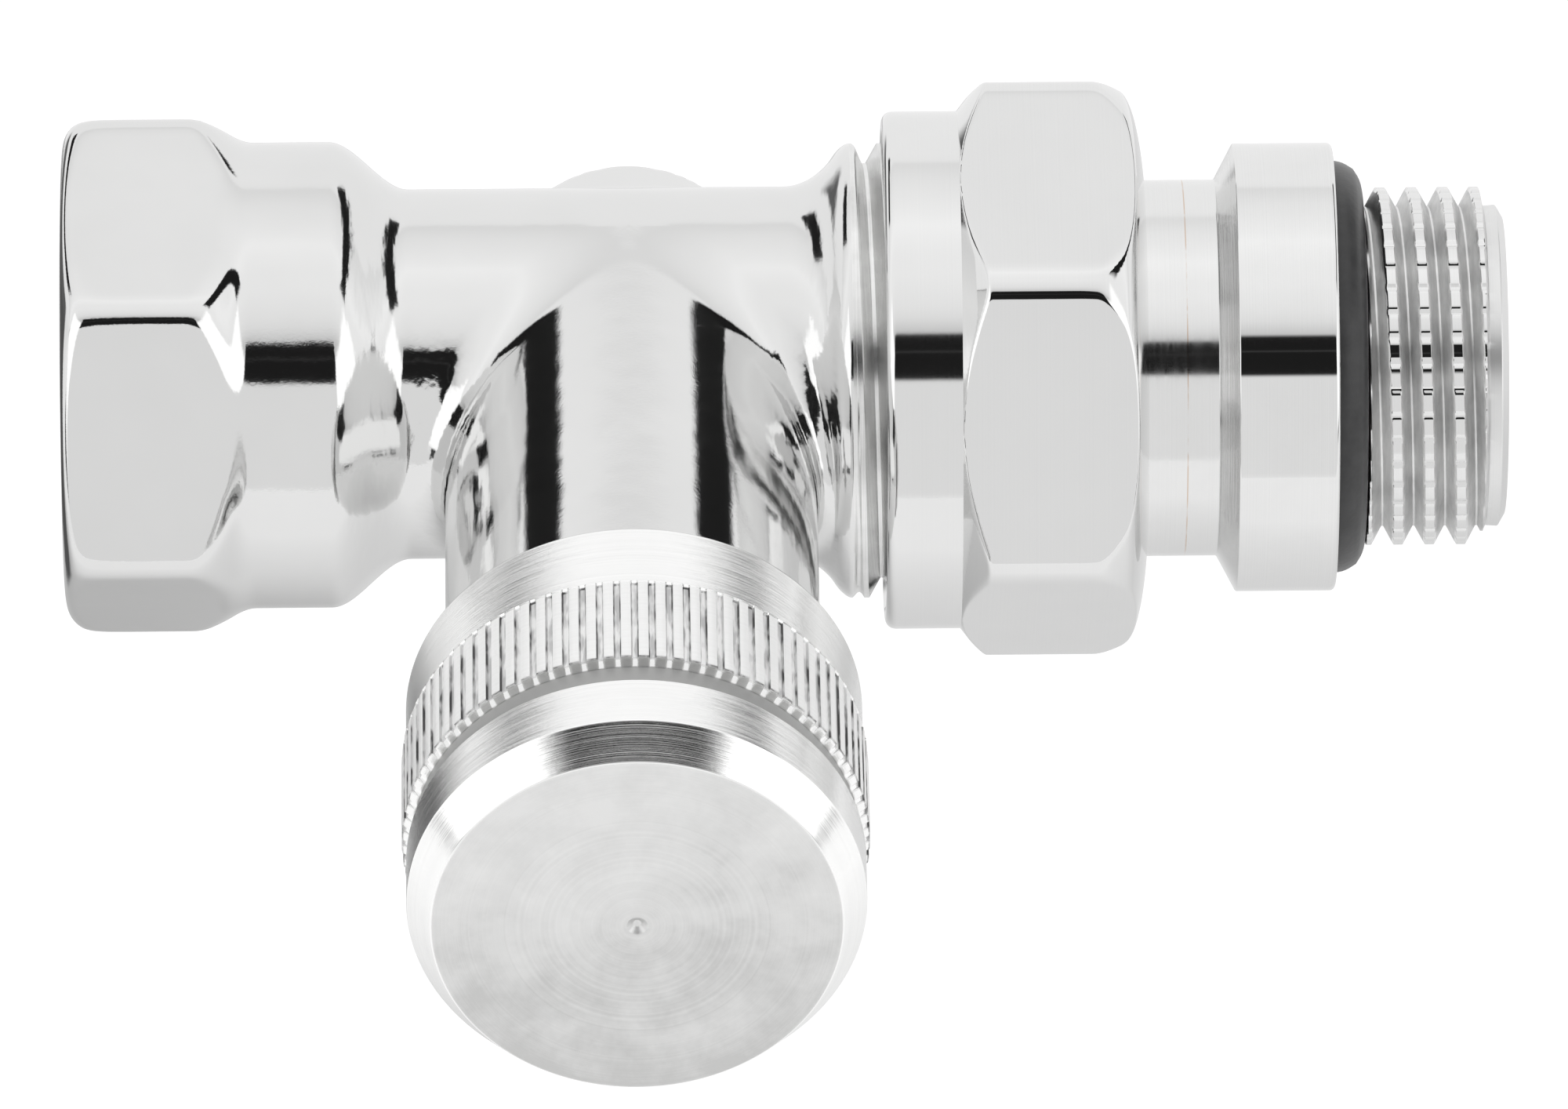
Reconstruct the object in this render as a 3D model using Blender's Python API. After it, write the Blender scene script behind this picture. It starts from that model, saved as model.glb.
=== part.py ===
# Straight lockshield radiator valve: a forged, plated body with a screwed cap over its
# spindle, and a union tail that screws into the radiator.
# Metres, +Z up. The origin is the centre of the pipe socket's mouth. The pipe runs along +X
# to the radiator, and the branch with the spindle and the cap points along -Y.

import math

import bmesh
import bpy

# Clearances
SEAT_GAP = 0.0003          # between pieces that rest on each other
FIT_GAP = 0.0003           # round screwed and sliding pieces, and over thread crests
RING_GAP = 0.0001          # round a rubber ring in its groove

# Valve body along the pipe
HEX_FLATS = 0.0270         # spanner size at the pipe end
HEX_CORNER_RADIUS = 0.0154
HEX_TURN_DEG = 9.5         # a corner's angle from +Y towards +Z
HEX_EDGE = 0.0018          # rounding at the mouth
HEX_LENGTH = 0.0080
HEX_SHOULDER = 0.0032
COLLAR_RADIUS = 0.01347
COLLAR_LENGTH = 0.0048
COLLAR_BLEND = 0.0040
PIPE_RADIUS = 0.01069
PIPE_BEFORE_BRANCH = 0.0127
PIPE_AFTER_BRANCH = 0.0091
FLARE_LENGTH = 0.0033
UNION_CREST = 0.01322      # G 3/4 male thread
UNION_ROOT = 0.01206
UNION_PITCH = 0.001814
UNION_LENGTH = 0.0106
BOSS_RADIUS = 0.0068       # flat pad on the back
BOSS_STAND = 0.00011       # proud of the pipe
BOSS_EDGE = 0.0004

# Flow passages
SOCKET_RADIUS = 0.0094     # G 1/2 female thread, at its crests
SOCKET_DEPTH = 0.0130
SOCKET_CHAMFER = 0.0012
INLET_BORE = 0.0070
PASSAGE_RADIUS = 0.0038
PASSAGE_OFFSET = 0.0050    # from the pipe's axis, behind and in front of the seat
PASSAGE_WALL = 0.0035      # between a pipe bore and the spindle's chamber
BACK_CHAMBER = 0.0052
BACK_DEPTH = 0.0090
SEAT_RADIUS = 0.0042
SEAT_WALL = 0.0020
SEAT_FACE = 0.0010         # from the pipe's axis
CHAMBER_RADIUS = 0.0070
OUTLET_BORE = 0.0075
SPIGOT_BORE_DEPTH = 0.0082

# Branch neck, with the cap's thread on its end
NECK_RADIUS = 0.0107
NECK_LENGTH = 0.0330
CAP_CREST = 0.0099
CAP_ROOT = 0.0090
CAP_PITCH = 0.0015
CAP_SPIGOT = 0.0120        # turned end of the neck
CAP_THREAD_START = 0.0032  # from the neck's shoulder
CAP_THREAD_LENGTH = 0.0065

# Valve insert, screwed into the neck
INSERT_SHOULDER = 0.00045  # turned off the hexagon bar below the head
INSERT_LENGTH = 0.0203
INSERT_FLATS = 0.0155      # spanner size of its head
INSERT_HEAD = 0.0017
INSERT_RING_RADIUS = 0.0005
INSERT_RING_PLACE = 0.0010  # from the insert's inner end to its ring's groove
INSERT_THREAD_LENGTH = 0.0080

# Spindle and plug
SPINDLE_RADIUS = 0.0040
SPINDLE_HEAD_RADIUS = 0.0050
SPINDLE_HEAD_LENGTH = 0.0064
SPINDLE_HEAD_REST = 0.0008  # above the step inside the insert when the valve is shut
SPINDLE_RING_RADIUS = 0.0008
SPINDLE_LAND = 0.0008      # metal at each side of a ring's groove
SPINDLE_FOOT_RADIUS = 0.0024
KEY_FLATS = 0.0050
KEY_DEPTH = 0.0040
CLIP_PLACE = 0.0021        # from the top of the insert down to its retaining clip
CLIP_THICKNESS = 0.0008
CLIP_BITE = 0.0005         # how far the clip reaches into the insert's wall
CLIP_BAND = 0.0011
STOP_THICKNESS = 0.0005    # washer under the clip that stops the spindle
STOP_HOLE = 0.0032         # lets the key through
PLUG_RADIUS = 0.0056
PLUG_LENGTH = 0.0066
PLUG_FLOOR = 0.0024
PLUG_CLIP_PLACE = 0.0018   # from the plug's floor
PLUG_CLIP_THICKNESS = 0.0007
PLUG_CLIP_BITE = 0.0007
WASHER_THICKNESS = 0.0020
THRUST_RADIUS = 0.0050
THRUST_THICKNESS = 0.0007
SCREW_RADIUS = 0.0015
SCREW_LENGTH = 0.0017      # past the washer, into the plug
SCREW_HEAD_RADIUS = 0.0030
SCREW_HEAD = 0.0011
SCREW_SLOT = 0.0009
SCREW_SLOT_DEPTH = 0.0005

# Cap
CAP_RADIUS = 0.01295
CAP_SKIRT = 0.0013         # overlap past the neck's shoulder
CAP_REAR_BAND = 0.0051
CAP_KNURL_RADIUS = 0.01319
CAP_KNURL = 0.00735
CAP_GROOVE_RADIUS = 0.01265
CAP_GROOVE = 0.00155
CAP_CHAMFER = 0.0022
CAP_FACE_RADIUS = 0.01159
CAP_ROOF = 0.0030
CAP_PIP_RADIUS = 0.0009
CAP_PIP_DEPTH = 0.0004
GASKET_THICKNESS = 0.0010
GASKET_INNER = 0.0055
GASKET_EDGE = 0.0013       # short of the cap's bore

# Tailpiece
TAIL_RADIUS = 0.01088
TAIL_BORE = 0.0065
TAIL_KEY_FLATS = 0.0120    # hexagon for the fitting key
TAIL_KEY_DEPTH = 0.0140
SPIGOT_RADIUS = 0.0090
SPIGOT_LENGTH = 0.0077
CONE_RING_RADIUS = 0.0010
CONE_RING_PLACE = 0.0025   # from the spigot's end to its ring's groove
SNAP_PLACE = 0.0012        # from the tail's shoulder to the snap ring's groove
SNAP_WIDTH = 0.0014
SNAP_DEPTH = 0.0008        # of its groove
SNAP_STAND = 0.0017        # proud of the tail
TAIL_NECK_LENGTH = 0.0106
TAIL_CHAMFER = 0.0011
TAIL_COLLAR_RADIUS = 0.01296
TAIL_COLLAR_LENGTH = 0.0061
TAIL_COLLAR_EDGE = 0.0004
SEAL_RADIUS = 0.00175      # section of the radiator's ring
SEAL_LAND = 0.0009         # collar face outside the ring
SEAL_RELIEF = 0.0015       # from the collar's face to the thread
TAIL_CREST = 0.01035       # G 1/2 male thread
TAIL_ROOT = 0.0093
TAIL_PITCH = 0.001814
TAIL_THREAD_LENGTH = 0.0085
TAIL_END_CHAMFER = 0.0009

# Union nut
NUT_FLATS = 0.0300
NUT_CORNER_RADIUS = 0.0171
NUT_TURN_DEG = 6.5         # a corner's angle from +Y towards +Z
NUT_COLLAR_RADIUS = 0.01497
NUT_COLLAR_LENGTH = 0.0047
NUT_COLLAR_EDGE = 0.0006
NUT_CHAMFER = 0.0015
NUT_THREAD_DEPTH = 0.0115
NUT_WALL = 0.0036          # behind the snap ring
NUT_DOME = 0.0032
NUT_LIP = 0.00062          # flat face round the tail

# How finely the round shapes are cut
ROUND_SIDES = 36
SMALL_SIDES = 24
RING_SIDES = 6
THREAD_STEPS = 24
EDGE_STEPS = 3
THREAD_FADE_STEPS = 8
THREAD_SINK = 0.0003
FLANK_SLOPE = math.tan(math.radians(27.5))
ROOT_SHARE = 0.44          # half width of a thread's foot, in pitches
SMOOTH_ANGLE = math.radians(35)
PAST = 0.002               # how far a cutter runs past the face it opens

# Places along the pipe
COLLAR_START = HEX_LENGTH + HEX_SHOULDER
COLLAR_END = COLLAR_START + COLLAR_LENGTH
PIPE_START = COLLAR_END + COLLAR_BLEND
BRANCH_X = PIPE_START + PIPE_BEFORE_BRANCH
FLARE_START = BRANCH_X + PIPE_AFTER_BRANCH
UNION_START = FLARE_START + FLARE_LENGTH
OUTLET_END = UNION_START + UNION_LENGTH
TAIL_SHOULDER = OUTLET_END + SEAT_GAP
SPIGOT_END = TAIL_SHOULDER - SPIGOT_LENGTH
SNAP_START = TAIL_SHOULDER + SNAP_PLACE
SNAP_END = SNAP_START + SNAP_WIDTH
NUT_SHOULDER = SNAP_END + SEAT_GAP
NUT_START = NUT_SHOULDER - NUT_THREAD_DEPTH
NUT_END = NUT_SHOULDER + NUT_WALL
TAIL_NECK_END = TAIL_SHOULDER + TAIL_NECK_LENGTH
TAIL_COLLAR_START = TAIL_NECK_END + TAIL_CHAMFER
TAIL_FACE = TAIL_COLLAR_START + TAIL_COLLAR_LENGTH
TAIL_THREAD_START = TAIL_FACE + SEAL_RELIEF
TAIL_END = TAIL_THREAD_START + TAIL_THREAD_LENGTH
NUT_BORE = UNION_CREST + FIT_GAP
NUT_BACK_BORE = TAIL_RADIUS + FIT_GAP
NUT_DOME_RADIUS = NUT_BACK_BORE + NUT_LIP
SNAP_OUTER = TAIL_RADIUS + SNAP_STAND

# Places along the branch, measured from the pipe's axis
NECK_MOUTH = NECK_LENGTH + CAP_SPIGOT
INSERT_STEP = NECK_MOUTH + SEAT_GAP
INSERT_TOP = INSERT_STEP + INSERT_HEAD
INSERT_FOOT = INSERT_STEP - INSERT_LENGTH
INSERT_RADIUS = INSERT_FLATS / 2 - INSERT_SHOULDER
INSERT_BORE = INSERT_RADIUS + FIT_GAP
HEAD_BORE_START = INSERT_FOOT + INSERT_THREAD_LENGTH
HEAD_BORE = SPINDLE_HEAD_RADIUS + FIT_GAP
HEAD_START = HEAD_BORE_START + SPINDLE_HEAD_REST
HEAD_END = HEAD_START + SPINDLE_HEAD_LENGTH
CLIP_END = INSERT_TOP - CLIP_PLACE + CLIP_THICKNESS
CLIP_START = CLIP_END - CLIP_THICKNESS
WASHER_START = SEAT_FACE + SEAT_GAP
WASHER_END = WASHER_START + WASHER_THICKNESS
PLUG_START = WASHER_END + SEAT_GAP
PLUG_END = PLUG_START + PLUG_LENGTH
PLUG_POCKET = PLUG_START + PLUG_FLOOR
PLUG_CLIP_START = PLUG_POCKET + PLUG_CLIP_PLACE
PLUG_CLIP_END = PLUG_CLIP_START + PLUG_CLIP_THICKNESS
THRUST_START = PLUG_END + SEAT_GAP
THRUST_END = THRUST_START + THRUST_THICKNESS
SPINDLE_SHOULDER = THRUST_END + SEAT_GAP
GASKET_START = INSERT_TOP + SEAT_GAP
GASKET_END = GASKET_START + GASKET_THICKNESS
CAP_INNER = GASKET_END + SEAT_GAP
CAP_FACE = CAP_INNER + CAP_ROOF
CAP_BORE = CAP_CREST + FIT_GAP
CAP_REAR = NECK_LENGTH - CAP_SKIRT

# Finishes: colour, roughness, metallic
PLATE = ("bright_plate", (0.80, 0.80, 0.79), 0.10, 1.0)
TURNED = ("turned_plate", (0.78, 0.77, 0.75), 0.28, 1.0)
BRASS = ("brass", (0.72, 0.53, 0.25), 0.30, 1.0)
STEEL = ("spring_steel", (0.55, 0.56, 0.58), 0.30, 1.0)
RUBBER = ("black_rubber", (0.02, 0.02, 0.02), 0.55, 0.0)
FIBRE = ("grey_fibre", (0.30, 0.29, 0.27), 0.70, 0.0)


def clear_scene():
    for old in list(bpy.data.objects):
        bpy.data.objects.remove(old, do_unlink=True)


def make_axis(name, place, turn):
    axis = bpy.data.objects.new(name, None)
    axis.location = place
    axis.rotation_euler = turn
    bpy.context.scene.collection.objects.link(axis)
    return axis


def make_material(name, finish):
    _, colour, roughness, metallic = finish
    material = bpy.data.materials.new(name)
    material.use_nodes = True
    shader = material.node_tree.nodes["Principled BSDF"]
    shader.inputs["Base Color"].default_value = (*colour, 1.0)
    shader.inputs["Roughness"].default_value = roughness
    shader.inputs["Metallic"].default_value = metallic
    return material


def make_object(name, shape, axis, finish=None):
    # a piece with a finish is a sub-part; one without is a cutter or a part of another shape
    mesh = bpy.data.meshes.new(name)
    bmesh.ops.recalc_face_normals(shape, faces=shape.faces)
    shape.to_mesh(mesh)
    shape.free()
    mesh.shade_smooth()
    mesh.set_sharp_from_angle(angle=SMOOTH_ANGLE)
    piece = bpy.data.objects.new(name, mesh)
    bpy.context.scene.collection.objects.link(piece)
    piece.parent = axis
    if finish:
        mesh.materials.append(make_material(name, finish))
    else:
        piece.hide_render = True
        piece.display_type = "WIRE"
    return piece


def combine(target, tool, operation):
    boolean = target.modifiers.new(tool.name, "BOOLEAN")
    boolean.operation = operation
    boolean.solver = "EXACT"
    boolean.object = tool


def hex_radius(flats, angle):
    # distance to a hexagon's edge, its corners at multiples of 60 degrees
    sixth = math.pi / 3
    return flats / 2 / math.cos(angle % sixth - sixth / 2)


def turned(name, axis, profile, finish=None, sides=ROUND_SIDES, turn_deg=0.0, ring=False):
    # A profile of (along, radius) or (along, radius, flats) points turned about the axis.
    # Points with flats follow a hexagon wherever it lies inside their radius.
    # A ring's profile is a closed loop; any other one is closed by a flat face at each end.
    shape = bmesh.new()
    loops = []
    for along, radius, *flats in profile:
        loop = []
        for side in range(sides):
            angle = 2 * math.pi * side / sides
            reach = min(radius, hex_radius(flats[0], angle)) if flats else radius
            heading = angle + math.radians(turn_deg)
            loop.append(shape.verts.new((reach * math.cos(heading), reach * math.sin(heading), along)))
        loops.append(loop)
    pairs = list(zip(loops, loops[1:]))
    if ring:
        pairs.append((loops[-1], loops[0]))
    else:
        shape.faces.new(loops[0])
        shape.faces.new(loops[-1])
    for low, high in pairs:
        for side in range(sides):
            step = (side + 1) % sides
            shape.faces.new((low[side], low[step], high[step], high[side]))
    return make_object(name, shape, axis, finish)


def o_ring(name, axis, along, centre, radius, sides=SMALL_SIDES):
    # a rubber ring of round section
    angles = [2 * math.pi * corner / RING_SIDES for corner in range(RING_SIDES)]
    section = [(along + radius * math.sin(angle), centre + radius * math.cos(angle)) for angle in angles]
    return turned(name, axis, section, RUBBER, sides, ring=True)


def rounded_edge(along, radius, along_step, radius_step, flats=None):
    # a quarter round from (along, radius + radius_step) to (along + along_step, radius)
    points = []
    for step in range(EDGE_STEPS + 1):
        angle = math.pi / 2 * step / EDGE_STEPS
        point = (along + along_step * math.sin(angle), radius + radius_step * math.cos(angle))
        points.append(point + ((flats,) if flats else ()))
    return points


def spun(section, angle, along=0.0):
    # a section of (along, radius) points, turned to an angle about the axis
    return [(reach * math.cos(angle), reach * math.sin(angle), along + shift) for shift, reach in section]


def swept(name, axis, sections, finish=None):
    # sections joined in order, with a flat face at each end
    shape = bmesh.new()
    rings = [[shape.verts.new(corner) for corner in section] for section in sections]
    for low, high in zip(rings, rings[1:]):
        for corner in range(len(low)):
            step = (corner + 1) % len(low)
            shape.faces.new((low[corner], low[step], high[step], high[corner]))
    shape.faces.new(rings[0])
    shape.faces.new(rings[-1])
    return make_object(name, shape, axis, finish)


def thread_ridge(name, axis, start, length, pitch, crest, root):
    # a right-handed ridge, sunk into its core, that fades in and out at its ends
    foot = ROOT_SHARE * pitch
    tip = foot - (crest - root) * FLANK_SLOPE
    low = root - THREAD_SINK
    buried = root - THREAD_SINK / 2
    steps = int((length - 2 * foot) / pitch * THREAD_STEPS)
    sections = []
    for step in range(steps + 1):
        rise = min(1.0, step / THREAD_FADE_STEPS, (steps - step) / THREAD_FADE_STEPS)
        high = buried + (crest - buried) * rise
        section = [(-foot, low), (foot, low), (tip, high), (-tip, high)]
        angle = 2 * math.pi * (step + 0.5) / THREAD_STEPS
        sections.append(spun(section, angle, start + foot + pitch * step / THREAD_STEPS))
    return swept(name, axis, sections)


def open_ring(name, axis, start, end, inner, outer):
    # a flat spring ring with a gap one step wide
    section = [(start, inner), (start, outer), (end, outer), (end, inner)]
    angles = [2 * math.pi * (step + 0.5) / SMALL_SIDES for step in range(SMALL_SIDES)]
    return swept(name, axis, [spun(section, angle) for angle in angles], STEEL)


def round_bar(name, axis, start, end, radius, sides=SMALL_SIDES):
    return turned(name, axis, [(start, radius), (end, radius)], sides=sides, turn_deg=180 / sides)


def eased(start, end, from_radius, to_radius):
    # an S-shaped change of radius along the pipe
    points = []
    for step in range(EDGE_STEPS + 2):
        share = step / (EDGE_STEPS + 1)
        ease = share * share * (3 - 2 * share)
        points.append((start + (end - start) * share, from_radius + (to_radius - from_radius) * ease))
    return points


def build_body(pipe, branch):
    body = turned("valve_body", pipe, [
        *rounded_edge(HEX_EDGE, COLLAR_RADIUS, -HEX_EDGE, HEX_CORNER_RADIUS - COLLAR_RADIUS, HEX_FLATS)[::-1],
        (HEX_LENGTH, HEX_CORNER_RADIUS, HEX_FLATS),
        (HEX_LENGTH + HEX_SHOULDER / 2, (HEX_CORNER_RADIUS + COLLAR_RADIUS) / 2, HEX_FLATS),
        (COLLAR_START, COLLAR_RADIUS),
        *eased(COLLAR_END, PIPE_START, COLLAR_RADIUS, PIPE_RADIUS),
        *eased(FLARE_START, UNION_START, PIPE_RADIUS, UNION_ROOT),
        (OUTLET_END, UNION_ROOT),
    ], PLATE, turn_deg=HEX_TURN_DEG)
    combine(body, turned("neck", branch, [
        (0, NECK_RADIUS),
        (NECK_LENGTH, NECK_RADIUS),
        (NECK_LENGTH, CAP_ROOT),
        (NECK_MOUTH, CAP_ROOT),
    ]), "UNION")
    boss_end = PIPE_RADIUS + BOSS_STAND
    combine(body, turned("boss", branch, [
        (0, BOSS_RADIUS),
        (BOSS_EDGE - boss_end, BOSS_RADIUS),
        (-boss_end, BOSS_RADIUS - BOSS_EDGE),
    ]), "UNION")
    union_thread = thread_ridge(
        "union_thread", pipe, UNION_START, UNION_LENGTH, UNION_PITCH, UNION_CREST, UNION_ROOT)
    combine(body, union_thread, "UNION")
    cap_thread_start = NECK_LENGTH + CAP_THREAD_START
    cap_thread = thread_ridge(
        "cap_thread", branch, cap_thread_start, CAP_THREAD_LENGTH, CAP_PITCH, CAP_CREST, CAP_ROOT)
    combine(body, cap_thread, "UNION")

    inlet_end = BRANCH_X - CHAMBER_RADIUS - PASSAGE_WALL
    combine(body, turned("inlet_bore", pipe, [
        (-PAST, SOCKET_RADIUS + SOCKET_CHAMFER),
        (0, SOCKET_RADIUS + SOCKET_CHAMFER),
        (SOCKET_CHAMFER, SOCKET_RADIUS),
        (SOCKET_DEPTH, SOCKET_RADIUS),
        (SOCKET_DEPTH, INLET_BORE),
        (inlet_end, INLET_BORE),
    ]), "DIFFERENCE")
    outlet_start = BRANCH_X + CHAMBER_RADIUS + PASSAGE_WALL
    spigot_floor = OUTLET_END - SPIGOT_BORE_DEPTH
    combine(body, turned("outlet_bore", pipe, [
        (outlet_start, OUTLET_BORE),
        (spigot_floor, OUTLET_BORE),
        (spigot_floor, SPIGOT_RADIUS + FIT_GAP),
        (OUTLET_END + PAST, SPIGOT_RADIUS + FIT_GAP),
    ]), "DIFFERENCE")
    seat_back = SEAT_FACE - SEAT_WALL
    insert_floor = INSERT_FOOT - SEAT_GAP
    combine(body, turned("spindle_bore", branch, [
        (-BACK_DEPTH, BACK_CHAMBER),
        (seat_back, BACK_CHAMBER),
        (seat_back, SEAT_RADIUS),
        (SEAT_FACE, SEAT_RADIUS),
        (SEAT_FACE, CHAMBER_RADIUS),
        (insert_floor, CHAMBER_RADIUS),
        (insert_floor, INSERT_BORE),
        (NECK_MOUTH + PAST, INSERT_BORE),
    ]), "DIFFERENCE")
    passages = [
        ("inlet_passage", inlet_end - PAST, BRANCH_X, PASSAGE_OFFSET),
        ("outlet_passage", BRANCH_X, outlet_start + PAST, -PASSAGE_OFFSET),
    ]
    for name, start, end, offset in passages:
        passage = round_bar(name, pipe, start, end, PASSAGE_RADIUS)
        passage.location.x = offset
        combine(body, passage, "DIFFERENCE")


def build_insert(branch):
    ring_start = INSERT_FOOT + INSERT_RING_PLACE
    ring_end = ring_start + 2 * (INSERT_RING_RADIUS + RING_GAP)
    ring_centre = INSERT_BORE - RING_GAP / 2 - INSERT_RING_RADIUS
    ring_root = ring_centre - INSERT_RING_RADIUS - RING_GAP / 2
    thread_bore = SPINDLE_RADIUS + FIT_GAP
    clip_groove = HEAD_BORE + CLIP_BITE
    turned("valve_insert", branch, [
        (INSERT_FOOT, thread_bore),
        (INSERT_FOOT, INSERT_RADIUS),
        (ring_start, INSERT_RADIUS),
        (ring_start, ring_root),
        (ring_end, ring_root),
        (ring_end, INSERT_RADIUS),
        (INSERT_STEP, INSERT_RADIUS),
        (INSERT_STEP, INSERT_FLATS, INSERT_FLATS),
        (INSERT_TOP, INSERT_FLATS, INSERT_FLATS),
        (INSERT_TOP, HEAD_BORE),
        (CLIP_END + RING_GAP, HEAD_BORE),
        (CLIP_END + RING_GAP, clip_groove),
        (CLIP_START - RING_GAP, clip_groove),
        (CLIP_START - RING_GAP, HEAD_BORE),
        (HEAD_BORE_START, HEAD_BORE),
        (HEAD_BORE_START, thread_bore),
    ], BRASS, sides=SMALL_SIDES, ring=True)
    middle = (ring_start + ring_end) / 2
    o_ring("insert_o_ring", branch, middle, ring_centre, INSERT_RING_RADIUS)
    stop_end = CLIP_START - RING_GAP
    stop_outer = HEAD_BORE - RING_GAP
    turned("stop_washer", branch, [
        (stop_end - STOP_THICKNESS, STOP_HOLE),
        (stop_end - STOP_THICKNESS, stop_outer),
        (stop_end, stop_outer),
        (stop_end, STOP_HOLE),
    ], BRASS, sides=SMALL_SIDES, ring=True)
    clip_outer = clip_groove - RING_GAP
    open_ring("retaining_clip", branch, CLIP_START, CLIP_END, clip_outer - CLIP_BAND, clip_outer)


def build_spindle(branch):
    foot_start = PLUG_POCKET + SEAT_GAP
    clip_root = SPINDLE_FOOT_RADIUS - PLUG_CLIP_BITE
    ring_centre = HEAD_BORE - RING_GAP - SPINDLE_RING_RADIUS
    ring_root = ring_centre - SPINDLE_RING_RADIUS - RING_GAP
    ring_width = 2 * (SPINDLE_RING_RADIUS + RING_GAP)
    lower_start = HEAD_START + SPINDLE_LAND
    upper_end = HEAD_END - SPINDLE_LAND
    key_floor = HEAD_END - KEY_DEPTH
    turned("spindle", branch, [
        (foot_start, SPINDLE_FOOT_RADIUS),
        (PLUG_CLIP_START - RING_GAP, SPINDLE_FOOT_RADIUS),
        (PLUG_CLIP_START - RING_GAP, clip_root),
        (PLUG_CLIP_END + RING_GAP, clip_root),
        (PLUG_CLIP_END + RING_GAP, SPINDLE_FOOT_RADIUS),
        (SPINDLE_SHOULDER, SPINDLE_FOOT_RADIUS),
        (SPINDLE_SHOULDER, SPINDLE_RADIUS),
        (HEAD_START, SPINDLE_RADIUS),
        (HEAD_START, SPINDLE_HEAD_RADIUS),
        (lower_start, SPINDLE_HEAD_RADIUS),
        (lower_start, ring_root),
        (lower_start + ring_width, ring_root),
        (lower_start + ring_width, SPINDLE_HEAD_RADIUS),
        (upper_end - ring_width, SPINDLE_HEAD_RADIUS),
        (upper_end - ring_width, ring_root),
        (upper_end, ring_root),
        (upper_end, SPINDLE_HEAD_RADIUS),
        (HEAD_END, SPINDLE_HEAD_RADIUS),
        (HEAD_END, KEY_FLATS, KEY_FLATS),
        (key_floor, KEY_FLATS, KEY_FLATS),
    ], BRASS, sides=SMALL_SIDES)
    o_ring("spindle_o_ring_lower", branch, lower_start + ring_width / 2, ring_centre, SPINDLE_RING_RADIUS)
    o_ring("spindle_o_ring_upper", branch, upper_end - ring_width / 2, ring_centre, SPINDLE_RING_RADIUS)
    foot_bore = SPINDLE_FOOT_RADIUS + FIT_GAP
    turned("thrust_washer", branch, [
        (THRUST_START, foot_bore),
        (THRUST_START, THRUST_RADIUS),
        (THRUST_END, THRUST_RADIUS),
        (THRUST_END, foot_bore),
    ], BRASS, sides=SMALL_SIDES, ring=True)


def build_plug(branch):
    foot_bore = SPINDLE_FOOT_RADIUS + FIT_GAP
    clip_groove = foot_bore + PLUG_CLIP_BITE
    screw_bore = SCREW_RADIUS + FIT_GAP
    turned("valve_plug", branch, [
        (PLUG_START, screw_bore),
        (PLUG_START, PLUG_RADIUS),
        (PLUG_END, PLUG_RADIUS),
        (PLUG_END, foot_bore),
        (PLUG_CLIP_END + RING_GAP, foot_bore),
        (PLUG_CLIP_END + RING_GAP, clip_groove),
        (PLUG_CLIP_START - RING_GAP, clip_groove),
        (PLUG_CLIP_START - RING_GAP, foot_bore),
        (PLUG_POCKET, foot_bore),
        (PLUG_POCKET, screw_bore),
    ], BRASS, sides=SMALL_SIDES, ring=True)
    clip_inner = SPINDLE_FOOT_RADIUS - PLUG_CLIP_BITE + RING_GAP
    open_ring("plug_clip", branch, PLUG_CLIP_START, PLUG_CLIP_END, clip_inner, clip_groove - RING_GAP)
    turned("seat_washer", branch, [
        (WASHER_START, screw_bore),
        (WASHER_START, PLUG_RADIUS),
        (WASHER_END, PLUG_RADIUS),
        (WASHER_END, screw_bore),
    ], RUBBER, sides=SMALL_SIDES, ring=True)
    head_end = WASHER_START - SEAT_GAP
    screw = turned("washer_screw", branch, [
        (head_end - SCREW_HEAD, SCREW_HEAD_RADIUS),
        (head_end, SCREW_HEAD_RADIUS),
        (head_end, SCREW_RADIUS),
        (PLUG_START + SCREW_LENGTH, SCREW_RADIUS),
    ], BRASS, sides=SMALL_SIDES)
    slot = bmesh.new()
    bmesh.ops.create_cube(slot, size=1.0)
    bmesh.ops.scale(slot, vec=(3 * SCREW_HEAD_RADIUS, SCREW_SLOT, 2 * SCREW_SLOT_DEPTH), verts=slot.verts)
    bmesh.ops.translate(slot, vec=(0, 0, head_end - SCREW_HEAD), verts=slot.verts)
    combine(screw, make_object("screw_slot", slot, branch), "DIFFERENCE")


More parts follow.
